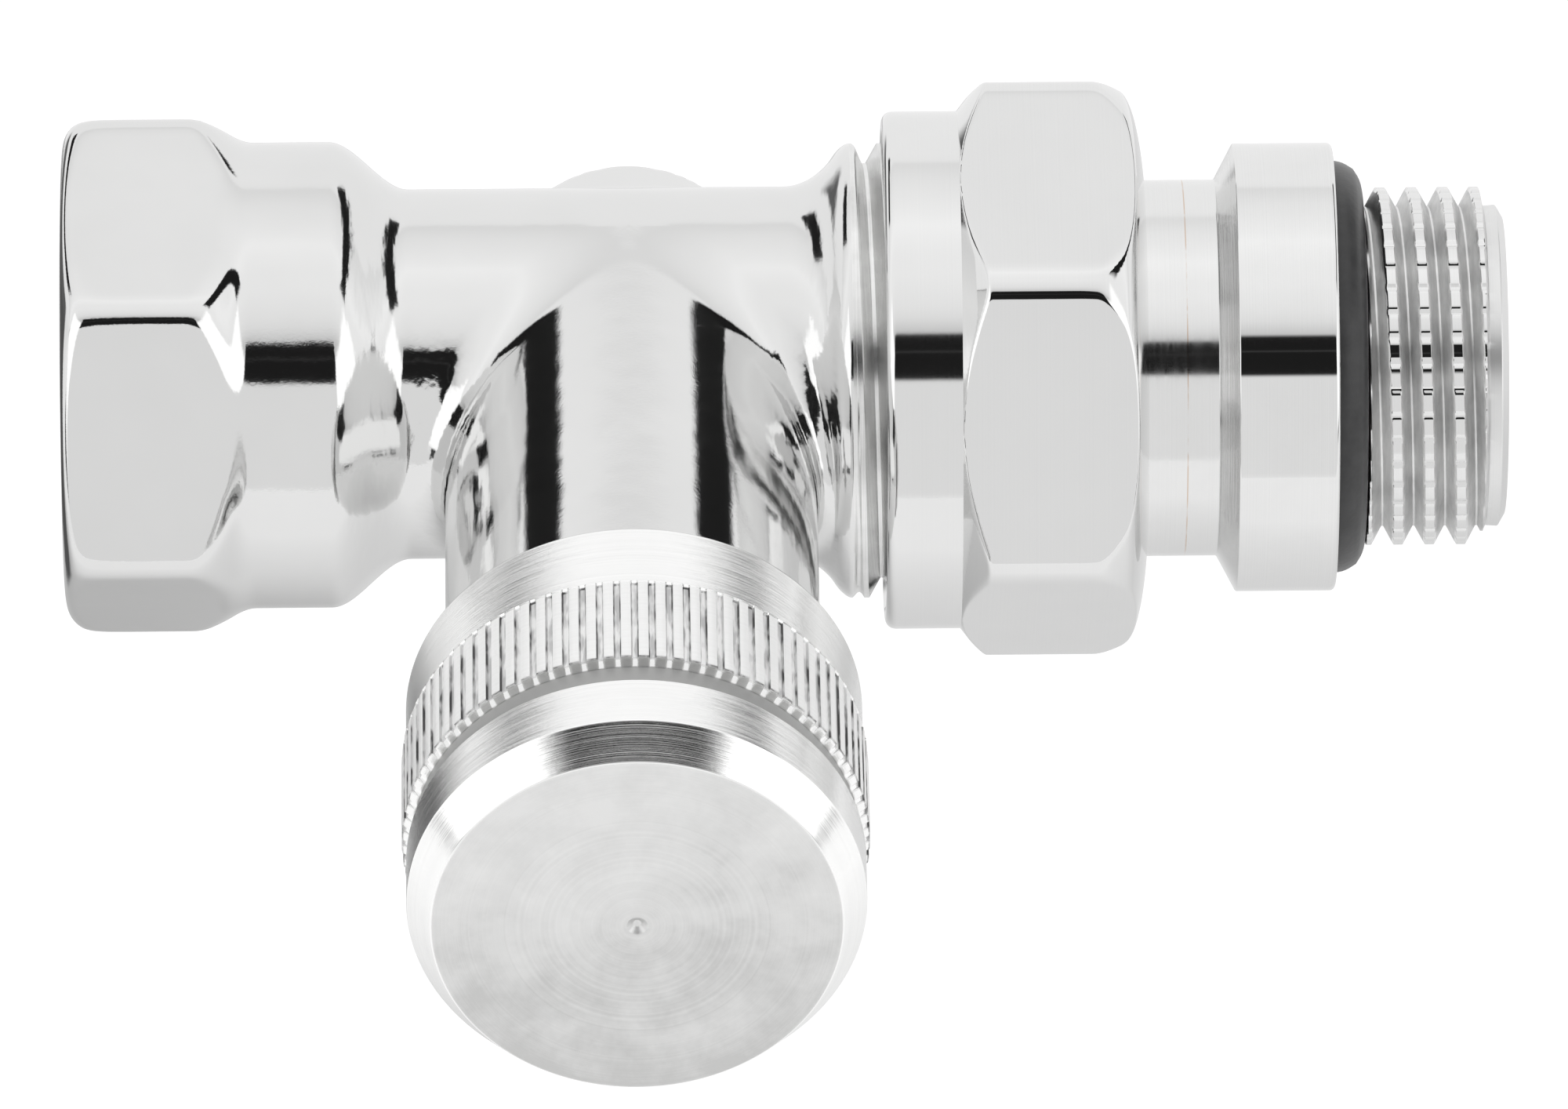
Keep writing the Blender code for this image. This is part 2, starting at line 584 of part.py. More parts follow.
def build_cap(branch):
    knurl_start = CAP_REAR + CAP_REAR_BAND
    knurl_end = knurl_start + CAP_KNURL
    groove_end = knurl_end + CAP_GROOVE
    groove_depth = CAP_KNURL_RADIUS - CAP_GROOVE_RADIUS
    skirt_bore = NECK_RADIUS + FIT_GAP
    skirt_end = NECK_LENGTH + SEAT_GAP
    turned("cap", branch, [
        (CAP_FACE - CAP_PIP_DEPTH, CAP_PIP_RADIUS / 2),
        (CAP_FACE, CAP_PIP_RADIUS),
        (CAP_FACE, CAP_FACE_RADIUS),
        (CAP_FACE - CAP_CHAMFER, CAP_RADIUS),
        (groove_end, CAP_RADIUS),
        (groove_end - groove_depth, CAP_GROOVE_RADIUS),
        (knurl_end + groove_depth, CAP_GROOVE_RADIUS),
        (knurl_end, CAP_KNURL_RADIUS),
        (knurl_start, CAP_KNURL_RADIUS),
        (knurl_start, CAP_RADIUS),
        (CAP_REAR, CAP_RADIUS),
        (CAP_REAR, skirt_bore),
        (skirt_end, skirt_bore),
        (skirt_end, CAP_BORE),
        (CAP_INNER, CAP_BORE),
    ], TURNED)
    gasket_outer = CAP_BORE - GASKET_EDGE
    turned("cap_gasket", branch, [
        (GASKET_START, GASKET_INNER),
        (GASKET_START, gasket_outer),
        (GASKET_END, gasket_outer),
        (GASKET_END, GASKET_INNER),
    ], FIBRE, sides=SMALL_SIDES, ring=True)


def build_tailpiece(pipe):
    cone_start = SPIGOT_END + CONE_RING_PLACE
    cone_width = 2 * (CONE_RING_RADIUS + RING_GAP)
    cone_centre = SPIGOT_RADIUS + FIT_GAP - RING_GAP - CONE_RING_RADIUS
    cone_root = cone_centre - CONE_RING_RADIUS - RING_GAP
    snap_root = TAIL_RADIUS - SNAP_DEPTH
    seal_outer = TAIL_COLLAR_RADIUS - SEAL_LAND - RING_GAP
    seal_centre = seal_outer - SEAL_RADIUS
    seal_root = seal_centre - SEAL_RADIUS - RING_GAP
    seal_floor = TAIL_FACE - SEAL_RADIUS - RING_GAP
    key_start = TAIL_END - TAIL_KEY_DEPTH
    tail = turned("tailpiece", pipe, [
        (SPIGOT_END, TAIL_BORE),
        (SPIGOT_END, SPIGOT_RADIUS),
        (cone_start, SPIGOT_RADIUS),
        (cone_start, cone_root),
        (cone_start + cone_width, cone_root),
        (cone_start + cone_width, SPIGOT_RADIUS),
        (TAIL_SHOULDER, SPIGOT_RADIUS),
        (TAIL_SHOULDER, TAIL_RADIUS),
        (SNAP_START - RING_GAP, TAIL_RADIUS),
        (SNAP_START - RING_GAP, snap_root),
        (SNAP_END + RING_GAP, snap_root),
        (SNAP_END + RING_GAP, TAIL_RADIUS),
        (TAIL_NECK_END, TAIL_RADIUS),
        (TAIL_COLLAR_START, TAIL_COLLAR_RADIUS),
        (TAIL_FACE - TAIL_COLLAR_EDGE, TAIL_COLLAR_RADIUS),
        (TAIL_FACE, TAIL_COLLAR_RADIUS - TAIL_COLLAR_EDGE),
        (TAIL_FACE, seal_outer + RING_GAP),
        (seal_floor, seal_outer + RING_GAP),
        (seal_floor, seal_root),
        (TAIL_THREAD_START, seal_root),
        (TAIL_THREAD_START, TAIL_ROOT),
        (TAIL_END - TAIL_END_CHAMFER, TAIL_ROOT),
        (TAIL_END, TAIL_ROOT - TAIL_END_CHAMFER),
        (TAIL_END, TAIL_KEY_FLATS, TAIL_KEY_FLATS),
        (key_start, TAIL_KEY_FLATS, TAIL_KEY_FLATS),
        (key_start, TAIL_BORE),
    ], TURNED, ring=True)
    thread = thread_ridge(
        "tail_thread", pipe, TAIL_THREAD_START, TAIL_THREAD_LENGTH, TAIL_PITCH, TAIL_CREST, TAIL_ROOT)
    combine(tail, thread, "UNION")
    o_ring("cone_o_ring", pipe, cone_start + cone_width / 2, cone_centre, CONE_RING_RADIUS)
    o_ring("radiator_o_ring", pipe, TAIL_FACE, seal_centre, SEAL_RADIUS, ROUND_SIDES)
    open_ring("union_snap_ring", pipe, SNAP_START, SNAP_END, snap_root + RING_GAP, SNAP_OUTER)


def build_union_nut(pipe):
    collar_end = NUT_START + NUT_COLLAR_LENGTH
    dome_drop = NUT_CORNER_RADIUS - NUT_DOME_RADIUS
    ring_pocket = SNAP_OUTER + FIT_GAP
    pocket_start = SNAP_START - SEAT_GAP
    turned("union_nut", pipe, [
        (NUT_START, NUT_BORE),
        *rounded_edge(NUT_START + NUT_COLLAR_EDGE, NUT_COLLAR_RADIUS - NUT_COLLAR_EDGE,
                      -NUT_COLLAR_EDGE, NUT_COLLAR_EDGE)[::-1],
        (collar_end, NUT_COLLAR_RADIUS),
        (collar_end + NUT_CHAMFER, NUT_CORNER_RADIUS, NUT_FLATS),
        *rounded_edge(NUT_END - NUT_DOME, NUT_DOME_RADIUS, NUT_DOME, dome_drop, NUT_FLATS),
        (NUT_END, NUT_BACK_BORE),
        (NUT_SHOULDER, NUT_BACK_BORE),
        (NUT_SHOULDER, ring_pocket),
        (pocket_start, ring_pocket),
        (pocket_start, NUT_BORE),
    ], PLATE, turn_deg=NUT_TURN_DEG, ring=True)


def main():
    clear_scene()
    pipe = make_axis("pipe_axis", (0, 0, 0), (math.pi / 2, 0, math.pi / 2))
    branch = make_axis("branch_axis", (BRANCH_X, 0, 0), (math.pi / 2, 0, 0))
    build_body(pipe, branch)
    build_insert(branch)
    build_spindle(branch)
    build_plug(branch)
    build_cap(branch)
    build_tailpiece(pipe)
    build_union_nut(pipe)
    bpy.context.view_layer.update()


main()
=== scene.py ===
import math

import bmesh
import bpy
import numpy as np
from mathutils import Matrix, Vector


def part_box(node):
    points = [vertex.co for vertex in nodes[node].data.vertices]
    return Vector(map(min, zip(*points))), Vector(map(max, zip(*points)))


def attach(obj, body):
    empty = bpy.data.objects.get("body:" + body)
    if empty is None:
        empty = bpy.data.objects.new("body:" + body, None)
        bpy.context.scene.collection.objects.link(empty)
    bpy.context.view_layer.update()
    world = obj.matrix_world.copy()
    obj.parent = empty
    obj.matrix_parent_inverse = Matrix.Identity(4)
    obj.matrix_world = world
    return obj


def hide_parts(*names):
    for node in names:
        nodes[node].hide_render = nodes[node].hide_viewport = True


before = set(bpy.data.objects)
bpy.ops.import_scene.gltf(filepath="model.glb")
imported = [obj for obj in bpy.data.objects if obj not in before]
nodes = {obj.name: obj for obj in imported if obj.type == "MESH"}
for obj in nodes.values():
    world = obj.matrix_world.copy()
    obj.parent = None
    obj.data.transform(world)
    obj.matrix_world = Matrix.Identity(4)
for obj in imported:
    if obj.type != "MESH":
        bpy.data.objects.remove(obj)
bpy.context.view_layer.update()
print("frame loaded:", len(nodes), "nodes")

# Shapes are worked out in millimetres in the frame's own axes: the pipe lies along +X, and
# the branch with the cap points along -Y. Angles round the pipe start at +Y and turn towards
# +Z; angles round the branch start at +X and turn towards +Z.
mm = 0.001


def nodeBox(node):
    low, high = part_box(node)
    return np.array(low) / mm, np.array(high) / mm


bodyLow, bodyHigh = nodeBox("valve_body")
capLow, capHigh = nodeBox("cap")
nutLow, nutHigh = nodeBox("union_nut")
tailLow, tailHigh = nodeBox("tailpiece")
sealLow, sealHigh = nodeBox("radiator_o_ring")
branchX = (capLow[0] + capHigh[0]) / 2


# Numbers used by more than one piece

def smoothStep(share):
    share = np.clip(share, 0, 1)
    return share * share * (3 - 2 * share)


def softMin(first, second, width):
    # the smaller of two values, eased where they come within the width of each other
    share = np.clip(0.5 + 0.5 * (second - first) / width, 0, 1)
    return second + (first - second) * share - width * share * (1 - share)


def softMax(first, second, width):
    return -softMin(-first, -second, width)


def roundMax(first, second, radius, cosine):
    # the larger of two distances, with a circle of the radius rolled along the edge where the
    # two faces meet; cosine is that of the angle between the faces' normals
    u = first + radius
    w = second + radius
    square = np.maximum(1 - cosine ** 2, 1e-9)
    reach = np.sqrt(np.maximum((u * u + w * w - 2 * cosine * u * w) / square, 0))
    onEdge = (u > cosine * w) & (w > cosine * u) & (u + w > 0)
    return np.where(onEdge, reach - radius, np.maximum(first, second))


def hexReach(angle, flats, rounding, turnDeg):
    # distance from the axis to a hexagon: a straight side over the cosine of the angle to its
    # middle, and near a corner the far side of the circle that rounds it
    sixth = math.pi / 3
    fromCorner = (angle - math.radians(turnDeg) + sixth / 2) % sixth - sixth / 2
    centre = (flats / 2 - rounding) / math.cos(sixth / 2)
    tangent = math.atan2(rounding / 2, centre + rounding * math.cos(sixth / 2))
    side = flats / 2 / np.cos(sixth / 2 - np.abs(fromCorner))
    across = np.maximum(rounding ** 2 - (centre * np.sin(fromCorner)) ** 2, 0)
    corner = centre * np.cos(fromCorner) + np.sqrt(across)
    return np.where(np.abs(fromCorner) < tangent, corner, side)


def evenAngles(count):
    return 2 * math.pi * np.arange(count) / count


def aroundPipe(along, radius, angle):
    along, radius, angle = np.broadcast_arrays(along, radius, angle)
    return np.stack([along, radius * np.cos(angle), radius * np.sin(angle)], -1)


def aroundBranch(along, radius, angle):
    along, radius, angle = np.broadcast_arrays(along, radius, angle)
    return np.stack([branchX + radius * np.cos(angle), -along, radius * np.sin(angle)], -1)


def easedProfile(corners, arcSteps=7, support=0.05):
    # corners are (along, radius) or (along, radius, fillet); a fillet becomes an arc, with a
    # point a little way past each end of it that keeps the straight stretches straight
    points = []
    for index, corner in enumerate(corners):
        here = np.array(corner[:2], float)
        if len(corner) < 3:
            points.append(here)
            continue
        before = np.array(corners[index - 1][:2]) - here
        after = np.array(corners[(index + 1) % len(corners)][:2]) - here
        toBefore = before / np.linalg.norm(before)
        toAfter = after / np.linalg.norm(after)
        half = math.acos(np.clip(toBefore @ toAfter, -1, 1)) / 2
        cut = corner[2] / math.tan(half)
        middle = toBefore + toAfter
        centre = here + middle / np.linalg.norm(middle) * corner[2] / math.sin(half)
        start = here + toBefore * cut - centre
        end = here + toAfter * cut - centre
        sweep = math.pi - 2 * half
        share = np.linspace(0, 1, arcSteps + 1)[:, None]
        arc = (start * np.sin((1 - share) * sweep) + end * np.sin(share * sweep)) / math.sin(sweep)
        points.append(here + toBefore * (cut + support))
        points.extend(centre + arc)
        points.append(here + toAfter * (cut + support))
    return np.array(points)


def leanCurve(stops, rows, samples=2000):
    # a curve from its lean in degrees at places along an axis: the rise is the sum of the lean's
    # tangent, and the rows are spaced evenly by the curve's own length
    stops = np.array(stops)
    along = np.linspace(stops[0, 0], stops[-1, 0], samples)
    slope = np.tan(np.radians(np.interp(along, stops[:, 0], stops[:, 1])))
    step = along[1] - along[0]
    rise = np.concatenate([[0], np.cumsum((slope[1:] + slope[:-1]) / 2 * step)])
    length = np.concatenate([[0], np.cumsum(np.hypot(step, np.diff(rise)))])
    even = np.linspace(0, length[-1], rows)
    return np.interp(even, length, along), np.interp(even, length, rise)


def turnedGrid(place, corners, angles):
    # an eased profile turned about an axis: rows follow the profile, columns the angle
    profile = easedProfile(corners)
    return place(profile[:, :1], profile[:, 1:], angles[None, :])


def castRays(field, origin, direction, far=17.0, near=3.0, halvings=40):
    # the point on each ray where the field turns from inside to outside, by halving
    low = np.full(direction.shape[:-1], near)
    high = np.broadcast_to(far, direction.shape[:-1])
    for _ in range(halvings):
        middle = (low + high) / 2
        inside = field(origin + direction * middle[..., None]) < 0
        low = np.where(inside, middle, low)
        high = np.where(inside, high, middle)
    return high


def helixBand(place, start, end, pitch, radiusAt, columns, crestAt, crestAngle=0.0):
    # A band of screw thread whose rows run along the helix: along = pitch * (row + angle / turn),
    # held between the band's ends. radiusAt gives the radius from the distance to the crest's
    # middle (in pitches, up to a half), the place along and the angle. A crest passes crestAt at
    # crestAngle.
    half = np.array([0, 0.05, 0.08, 0.10, 0.14, 0.16, 0.20, 0.24, 0.30, 0.37, 0.42, 0.44,
                     0.47, 0.5])
    section = np.concatenate([half[:-1], 1 - half[:0:-1]])
    angle = evenAngles(columns)
    first = crestAt - pitch * crestAngle / (2 * math.pi)
    turns = np.arange(math.floor((start - first) / pitch) - 2,
                      math.ceil((end - first) / pitch) + 2)
    row = (turns[:, None] + section[None, :]).reshape(-1, 1)
    along = np.clip(first + pitch * (row + angle[None, :] / (2 * math.pi)), start, end)
    fromCrest = np.tile(np.minimum(section, 1 - section), len(turns))[:, None]
    radius = radiusAt(fromCrest, along, angle[None, :])
    return place(along, radius, angle[None, :]), len(section)


def threadRise(fromCrest, land=0.08, floor=0.06):
    # 1 on the land, falling straight to 0 on the floor between two ridges, all in pitches
    return np.clip((0.5 - floor - fromCrest) / (0.5 - floor - land), 0, 1)


def threadFade(along, start, end, width):
    # 1 along the thread, easing to 0 at its two ends
    return smoothStep((along - start) / width) * smoothStep((end - along) / width)


def gridFaces(rows, columns, shift=0):
    # quads of a grid that closes on itself round its columns; at the closing seam a row meets
    # the one that lies shift rows further on
    row, column = np.meshgrid(np.arange(rows - 1), np.arange(columns), indexing="ij")
    onward = np.where(column == columns - 1, shift, 0)
    nextColumn = (column + 1) % columns
    corners = [row * columns + column, (row + 1) * columns + column,
               (row + 1 + onward) * columns + nextColumn, (row + onward) * columns + nextColumn]
    quads = np.stack(corners, -1).reshape(-1, 4)
    return quads[(row + 1 + onward < rows).ravel()]


def addPiece(name, grids, body, finish, replaced=(), sharpDeg=32, mergeWithin=0.0015):
    # grids of points become one closed mesh: doubles at seams and poles are merged, and the
    # faces are turned outwards
    points, faces, count = [], [], 0
    for grid in grids:
        surface, shift = grid if isinstance(grid, tuple) else (grid, 0)
        rows, columns = surface.shape[:2]
        points.append(surface.reshape(-1, 3))
        faces.append(gridFaces(rows, columns, shift) + count)
        count += rows * columns
    mesh = bpy.data.meshes.new(name)
    mesh.from_pydata((np.concatenate(points) * mm).tolist(), [], np.concatenate(faces).tolist())
    shape = bmesh.new()
    shape.from_mesh(mesh)
    bmesh.ops.remove_doubles(shape, verts=shape.verts, dist=mergeWithin * mm)
    bmesh.ops.recalc_face_normals(shape, faces=shape.faces)
    openEdges = sum(1 for edge in shape.edges if len(edge.link_faces) != 2)
    shape.to_mesh(mesh)
    shape.free()
    mesh.shade_smooth()
    mesh.set_sharp_from_angle(angle=math.radians(sharpDeg))
    mesh.materials.append(finish)
    piece = bpy.data.objects.new(name, mesh)
    bpy.context.scene.collection.objects.link(piece)
    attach(piece, body)
    if replaced:
        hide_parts(*replaced)
    print("piece:", name, len(mesh.polygons), "faces,", openEdges, "open edges")


# Shader maths: a socket that takes part in Python expressions

class Wire:
    def __init__(self, tree, socket):
        self.tree = tree
        self.socket = socket

    def make(self, kind, settings=None, inputs=None, output=0):
        # any node: its settings first, then the values or links of its sockets
        node = self.tree.nodes.new(kind)
        for key, value in (settings or {}).items():
            if key == "stops":
                ramp = node.color_ramp.elements
                while len(ramp) < len(value):
                    ramp.new(0.5)
                for stop, (position, shade) in zip(ramp, value):
                    stop.position = position
                    stop.color = (*shade, 1.0)
            else:
                setattr(node, key, value)
        for key, value in (inputs or {}).items():
            if isinstance(value, Wire):
                self.tree.links.new(value.socket, node.inputs[key])
            else:
                node.inputs[key].default_value = value
        return Wire(self.tree, node.outputs[output])

    def calc(self, operation, *values):
        return self.make("ShaderNodeMath", {"operation": operation}, dict(enumerate(values)))

    def __add__(self, other):
        return self.calc("ADD", self, other)

    def __radd__(self, other):
        return self.calc("ADD", other, self)

    def __sub__(self, other):
        return self.calc("SUBTRACT", self, other)

    def __rsub__(self, other):
        return self.calc("SUBTRACT", other, self)

    def __mul__(self, other):
        return self.calc("MULTIPLY", self, other)

    def __rmul__(self, other):
        return self.calc("MULTIPLY", other, self)

    def __truediv__(self, other):
        return self.calc("DIVIDE", self, other)

    def __pow__(self, other):
        return self.calc("POWER", self, other)

    def __abs__(self):
        return self.calc("ABSOLUTE", self)

    def between(self, low, high, soft):
        # 1 between two limits and 0 outside them, eased over the soft width
        return self.above(low, soft) * (1 - self.above(high, soft))

    def above(self, limit, soft):
        return self.make("ShaderNodeMapRange", {"interpolation_type": "SMOOTHSTEP"}, {
            0: self, 1: limit - soft, 2: limit + soft, 3: 0.0, 4: 1.0})

    def noise(self, scale, detail=2.0, roughness=0.5):
        # a cloudy value from 0 to 1 of a place, or of one number
        if self.socket.type == "VECTOR":
            return self.make("ShaderNodeTexNoise", {"noise_dimensions": "3D"}, {
                "Vector": self, "Scale": scale, "Detail": detail, "Roughness": roughness})
        return self.make("ShaderNodeTexNoise", {"noise_dimensions": "1D"}, {
            "W": self, "Scale": scale, "Detail": detail, "Roughness": roughness})

    def stretched(self, scale):
        return self.make("ShaderNodeMapping", {}, {"Vector": self, "Scale": scale})

    def blend(self, other, share):
        # from this colour to another
        return self.make("ShaderNodeMix", {"data_type": "RGBA"}, {0: share, 6: self, 7: other}, 2)

    def shades(self, *stops):
        return self.make("ShaderNodeValToRGB", {"stops": stops}, {0: self})

    def bump(self, height):
        # a normal from this value, which stands for a rise of the given height in millimetres
        return self.make("ShaderNodeBump", {}, {
            "Height": self, "Strength": 1.0, "Distance": height * mm})


def newFinish(name, metallic):
    finish = bpy.data.materials.new(name)
    finish.use_nodes = True
    tree = finish.node_tree
    shader = tree.nodes["Principled BSDF"]
    shader.inputs["Metallic"].default_value = metallic
    coords = tree.nodes.new("ShaderNodeTexCoord")
    return finish, shader, Wire(tree, coords.outputs["Object"])


def link(shader, socketName, wire):
    wire.tree.links.new(wire.socket, shader.inputs[socketName])


def splitPlace(place):
    return [place.make("ShaderNodeSeparateXYZ", {}, {0: place}, axis) for axis in range(3)]


def millimetres(place):
    return [axis / mm for axis in splitPlace(place)]


def acrossTurning(place, aboutBranch):
    # a number that changes only across the turning marks: the way along the axis plus the
    # distance from it
    x, y, z = millimetres(place)
    along, side = (0 - y, x - branchX) if aboutBranch else (x, y)
    return along + (side * side + z * z) ** 0.5


def weigh(weights, *wires):
    # the first weight alone, plus each wire times its own
    total = weights[0]
    for weight, wire in zip(weights[1:], wires):
        total = wire * weight + total
    return total


def dress(shader, shade, roughness, normal):
    for socketName, wire in (("Base Color", shade), ("Roughness", roughness), ("Normal", normal)):
        link(shader, socketName, wire)


# Each finish's look has its noises as (scale, detail, roughness), its masks as limits and a soft
# width in millimetres, and its mixes as weights.

def platedFinish():
    # bright plate over a forging: a near mirror with a slow ripple and a fine orange-peel grain,
    # and drawn marks in the hollows: round the pipe at its necks, and along the branch's flanks
    look = {
        "shades": ((0.3, (0.725, 0.725, 0.722)), (0.7, (0.755, 0.755, 0.752))),
        "ripple": (230, 2.0), "grain": (4600, 3.0, 0.7), "patches": (90, 3.0, 0.6),
        "socketNeck": (15.9, 19.8, 0.6), "flareNeck": (42.6, 0.6),
        "roundPipe": (330, 2.0), "pipeStretch": (4.0, 1.0, 1.0),
        "flankFrom": (7.6, 1.2), "flankTo": (12.5, 0.5), "flankAlong": (7.0, 33.0, 1.5),
        "alongBranch": (900, 2.0), "branchStretch": (1.0, 0.16, 1.0),
        "roughness": (0.03, 0.03, 0.02, 0.03), "relief": (0.0, 0.5, 0.045, 0.6, 0.6),
        "height": 0.06,
    }
    finish, shader, place = newFinish("brightPlate", 1.0)
    x, y, _ = millimetres(place)
    side = abs(x - branchX)
    necks = x.between(*look["socketNeck"]) + x.above(*look["flareNeck"])
    flanks = side.above(*look["flankFrom"]) * (1 - side.above(*look["flankTo"]))
    flanks = flanks * (0 - y).between(*look["flankAlong"])
    ripple, grain, patches = [place.noise(*look[key]) for key in ("ripple", "grain", "patches")]
    roundPipe = place.stretched(look["pipeStretch"]).noise(*look["roundPipe"]) * necks
    alongBranch = place.stretched(look["branchStretch"]).noise(*look["alongBranch"]) * flanks
    dress(shader, patches.shades(*look["shades"]),
          weigh(look["roughness"], patches, grain, necks),
          weigh(look["relief"], ripple, grain, roundPipe, alongBranch).bump(look["height"]))
    return finish


def nutFinish():
    # smooth plate on the flats, with fine rings cut into the turned collar
    look = {
        "shades": ((0.3, (0.745, 0.745, 0.743)), (0.7, (0.775, 0.775, 0.772))),
        "rings": (9.0, 3.0, 0.6), "grain": (1700, 2.0), "patches": (120, 3.0, 0.6),
        "collarSoft": 0.2, "mix": (0.0, 0.7, 0.3),
        "roughness": (0.03, 0.02, 0.05), "relief": (0.0, 0.35, 0.05), "height": 0.01,
    }
    finish, shader, place = newFinish("nutPlate", 1.0)
    x = millimetres(place)[0]
    rings = x.noise(*look["rings"])
    cut = rings * (1 - x.above(nut["collarEnd"], look["collarSoft"]))
    grain, patches = place.noise(*look["grain"]), place.noise(*look["patches"])
    dress(shader, weigh(look["mix"], patches, rings).shades(*look["shades"]),
          weigh(look["roughness"], patches, cut),
          weigh(look["relief"], cut, grain).bump(look["height"]))
    return finish


def tailFinish():
    # turned plate: bright on the neck, the collar and the lands, dull in the thread, with fine
    # rings and one line on the neck where the plate is worn through
    look = {
        "bright": ((0.3, (0.75, 0.75, 0.747)), (0.7, (0.79, 0.79, 0.787))),
        "dull": ((0.32, (0.55, 0.55, 0.55)), (0.68, (0.86, 0.86, 0.855))),
        "wornShade": (0.62, 0.48, 0.38, 1.0), "wornLine": (64.72, 64.78, 0.03),
        "wornClouds": (0.42, 0.1), "mix": (0.0, 0.5, 0.5),
        "fine": (11.0, 3.0, 0.6), "clouds": (300, 4.0, 0.65), "scuffs": (420, 3.0, 0.6),
        "scuffStretch": (9.0, 1.0, 1.0),
        "soft": 0.1, "chamferSoft": 0.05, "landDepth": 0.2, "landSoft": 0.04,
        "roughness": (0.035, 0.28, 0.3, 0.12, 0.03),
        "rings": (0.10, 0.08, 0.4, 1.2), "scuffRelief": 0.12, "height": 0.01,
    }
    finish, shader, place = newFinish("turnedTail", 1.0)
    x, y, z = millimetres(place)
    radius = (y * y + z * z) ** 0.5
    soft = look["soft"]
    lead = x.above(tail["bandEnd"], soft)
    thread = x.above(tail["threadStart"] - soft, soft) * (1 - lead)
    thread = thread * (1 - radius.above(tail["crest"] - look["landDepth"], look["landSoft"]))
    neck = 1 - x.above(tail["neckEnd"], soft)
    chamfer = x.between(tail["neckEnd"], tail["collarStart"], look["chamferSoft"])
    fine = acrossTurning(place, False).noise(*look["fine"])
    clouds = place.noise(*look["clouds"])
    scuffs = place.stretched(look["scuffStretch"]).noise(*look["scuffs"])
    worn = x.between(*look["wornLine"]) * clouds.above(*look["wornClouds"]) * neck
    bright = weigh(look["mix"], clouds, fine).shades(*look["bright"])
    dull = weigh(look["mix"], clouds, scuffs).shades(*look["dull"])
    scuffed = neck * scuffs
    relief = fine * weigh(look["rings"], neck, thread, chamfer) + scuffed * look["scuffRelief"]
    dress(shader, bright.blend(dull, thread).blend(look["wornShade"], worn),
          weigh(look["roughness"], thread, lead, scuffed, fine), relief.bump(look["height"]))
    return finish


def capFinish():
    # satin turning: rings so fine that they spread light across themselves, more broken marks on
    # the chamfer, a cloudy face painted darker towards its lower edge as shade, and a duller knurl
    # whose grooves' sides are painted dark as shade
    look = {
        "bands": ((0.3, (0.92, 0.92, 0.915)), (0.65, (0.97, 0.97, 0.965))),
        "satin": ((0.34, (0.57, 0.57, 0.565)), (0.5, (0.69, 0.69, 0.685)),
                  (0.68, (0.77, 0.77, 0.765))),
        "groove": (0.46, 0.46, 0.455, 1.0),
        "floors": ((0.40, (0.62, 0.62, 0.62)), (0.58, (0.97, 0.97, 0.965))),
        # the knurl grooves' sides: painted shade, nearly black
        "sides": ((0.42, (0.08, 0.08, 0.08)), (0.58, (0.80, 0.80, 0.80))),
        # the satin mix's last weight, on height, is painted shade: the face darker towards its
        # lower edge
        "bandMix": (0.0, 0.5, 0.5), "satinMixWithShade": (0.0, 0.5, 0.35, 0.15, 0.012),
        "fine": (34.0, 3.0, 0.7), "broad": (5.0, 2.0, 0.6), "clouds": (330, 4.0, 0.62),
        "stains": (120, 3.0, 0.6), "strokes": (1400, 2.0, 0.5), "drawn": (2600, 2.0),
        "drawnStretch": (1.0, 0.2, 1.0),
        "faceSoft": 0.05, "grooveShort": 0.1, "grooveSoft": 0.04,
        "knurlShort": 0.3, "knurlSoft": 0.05,
        "floorDepth": 0.08, "floorSoft": 0.03, "sideDepths": (0.135, 0.015), "sideSoft": 0.012,
        "metallic": (1.0, -0.75), "roughness": (0.09, 0.2, 0.4, 0.28, 0.05),
        "relief": (0.0, 0.0056, 0.006, 0.0045, 0.5), "height": 1.0,
    }
    finish, shader, place = newFinish("turnedCap", 1.0)
    x, y, z = millimetres(place)
    side, along = x - branchX, 0 - y
    radius = (side * side + z * z) ** 0.5
    across = acrossTurning(place, True)
    face = 1 - radius.above(cap["faceRadius"] - look["faceSoft"], look["faceSoft"])
    groove = along.between(cap["knurlEnd"], cap["grooveEnd"] - look["grooveShort"],
                           look["grooveSoft"])
    knurl = along.between(cap["knurlStart"] + look["knurlShort"],
                          cap["knurlEnd"] - look["knurlShort"], look["knurlSoft"])
    sunk = cap["knurlRadius"] - radius
    floors = knurl * sunk.above(look["floorDepth"], look["floorSoft"])
    deep, shallow = look["sideDepths"]
    sides = knurl * sunk.between(shallow, deep, look["sideSoft"])
    fine, broad = across.noise(*look["fine"]), across.noise(*look["broad"])
    clouds, stains, strokes = [place.noise(*look[key]) for key in ("clouds", "stains", "strokes")]
    drawn = place.stretched(look["drawnStretch"]).noise(*look["drawn"])
    bands = weigh(look["bandMix"], broad, clouds).shades(*look["bands"])
    # painted shade: the height weight darkens the face towards its lower edge
    satin = weigh(look["satinMixWithShade"], clouds, stains, broad, z).shades(*look["satin"])
    shade = bands.blend(satin, face).blend(look["groove"], groove)
    shade = shade.blend(drawn.shades(*look["floors"]), floors)
    # painted shade: the knurl grooves' sides are coloured nearly black
    shade = shade.blend(drawn.shades(*look["sides"]), sides)
    # the chamfer's marks lean towards the face, as a saw tooth does
    past = radius - cap["faceRadius"]
    lean = past.calc("MAXIMUM", past, 0.0)
    link(shader, "Metallic", weigh(look["metallic"], knurl))
    dress(shader, shade, weigh(look["roughness"], face, groove, knurl, clouds),
          weigh(look["relief"], fine, broad, strokes, lean).bump(look["height"]))
    return finish


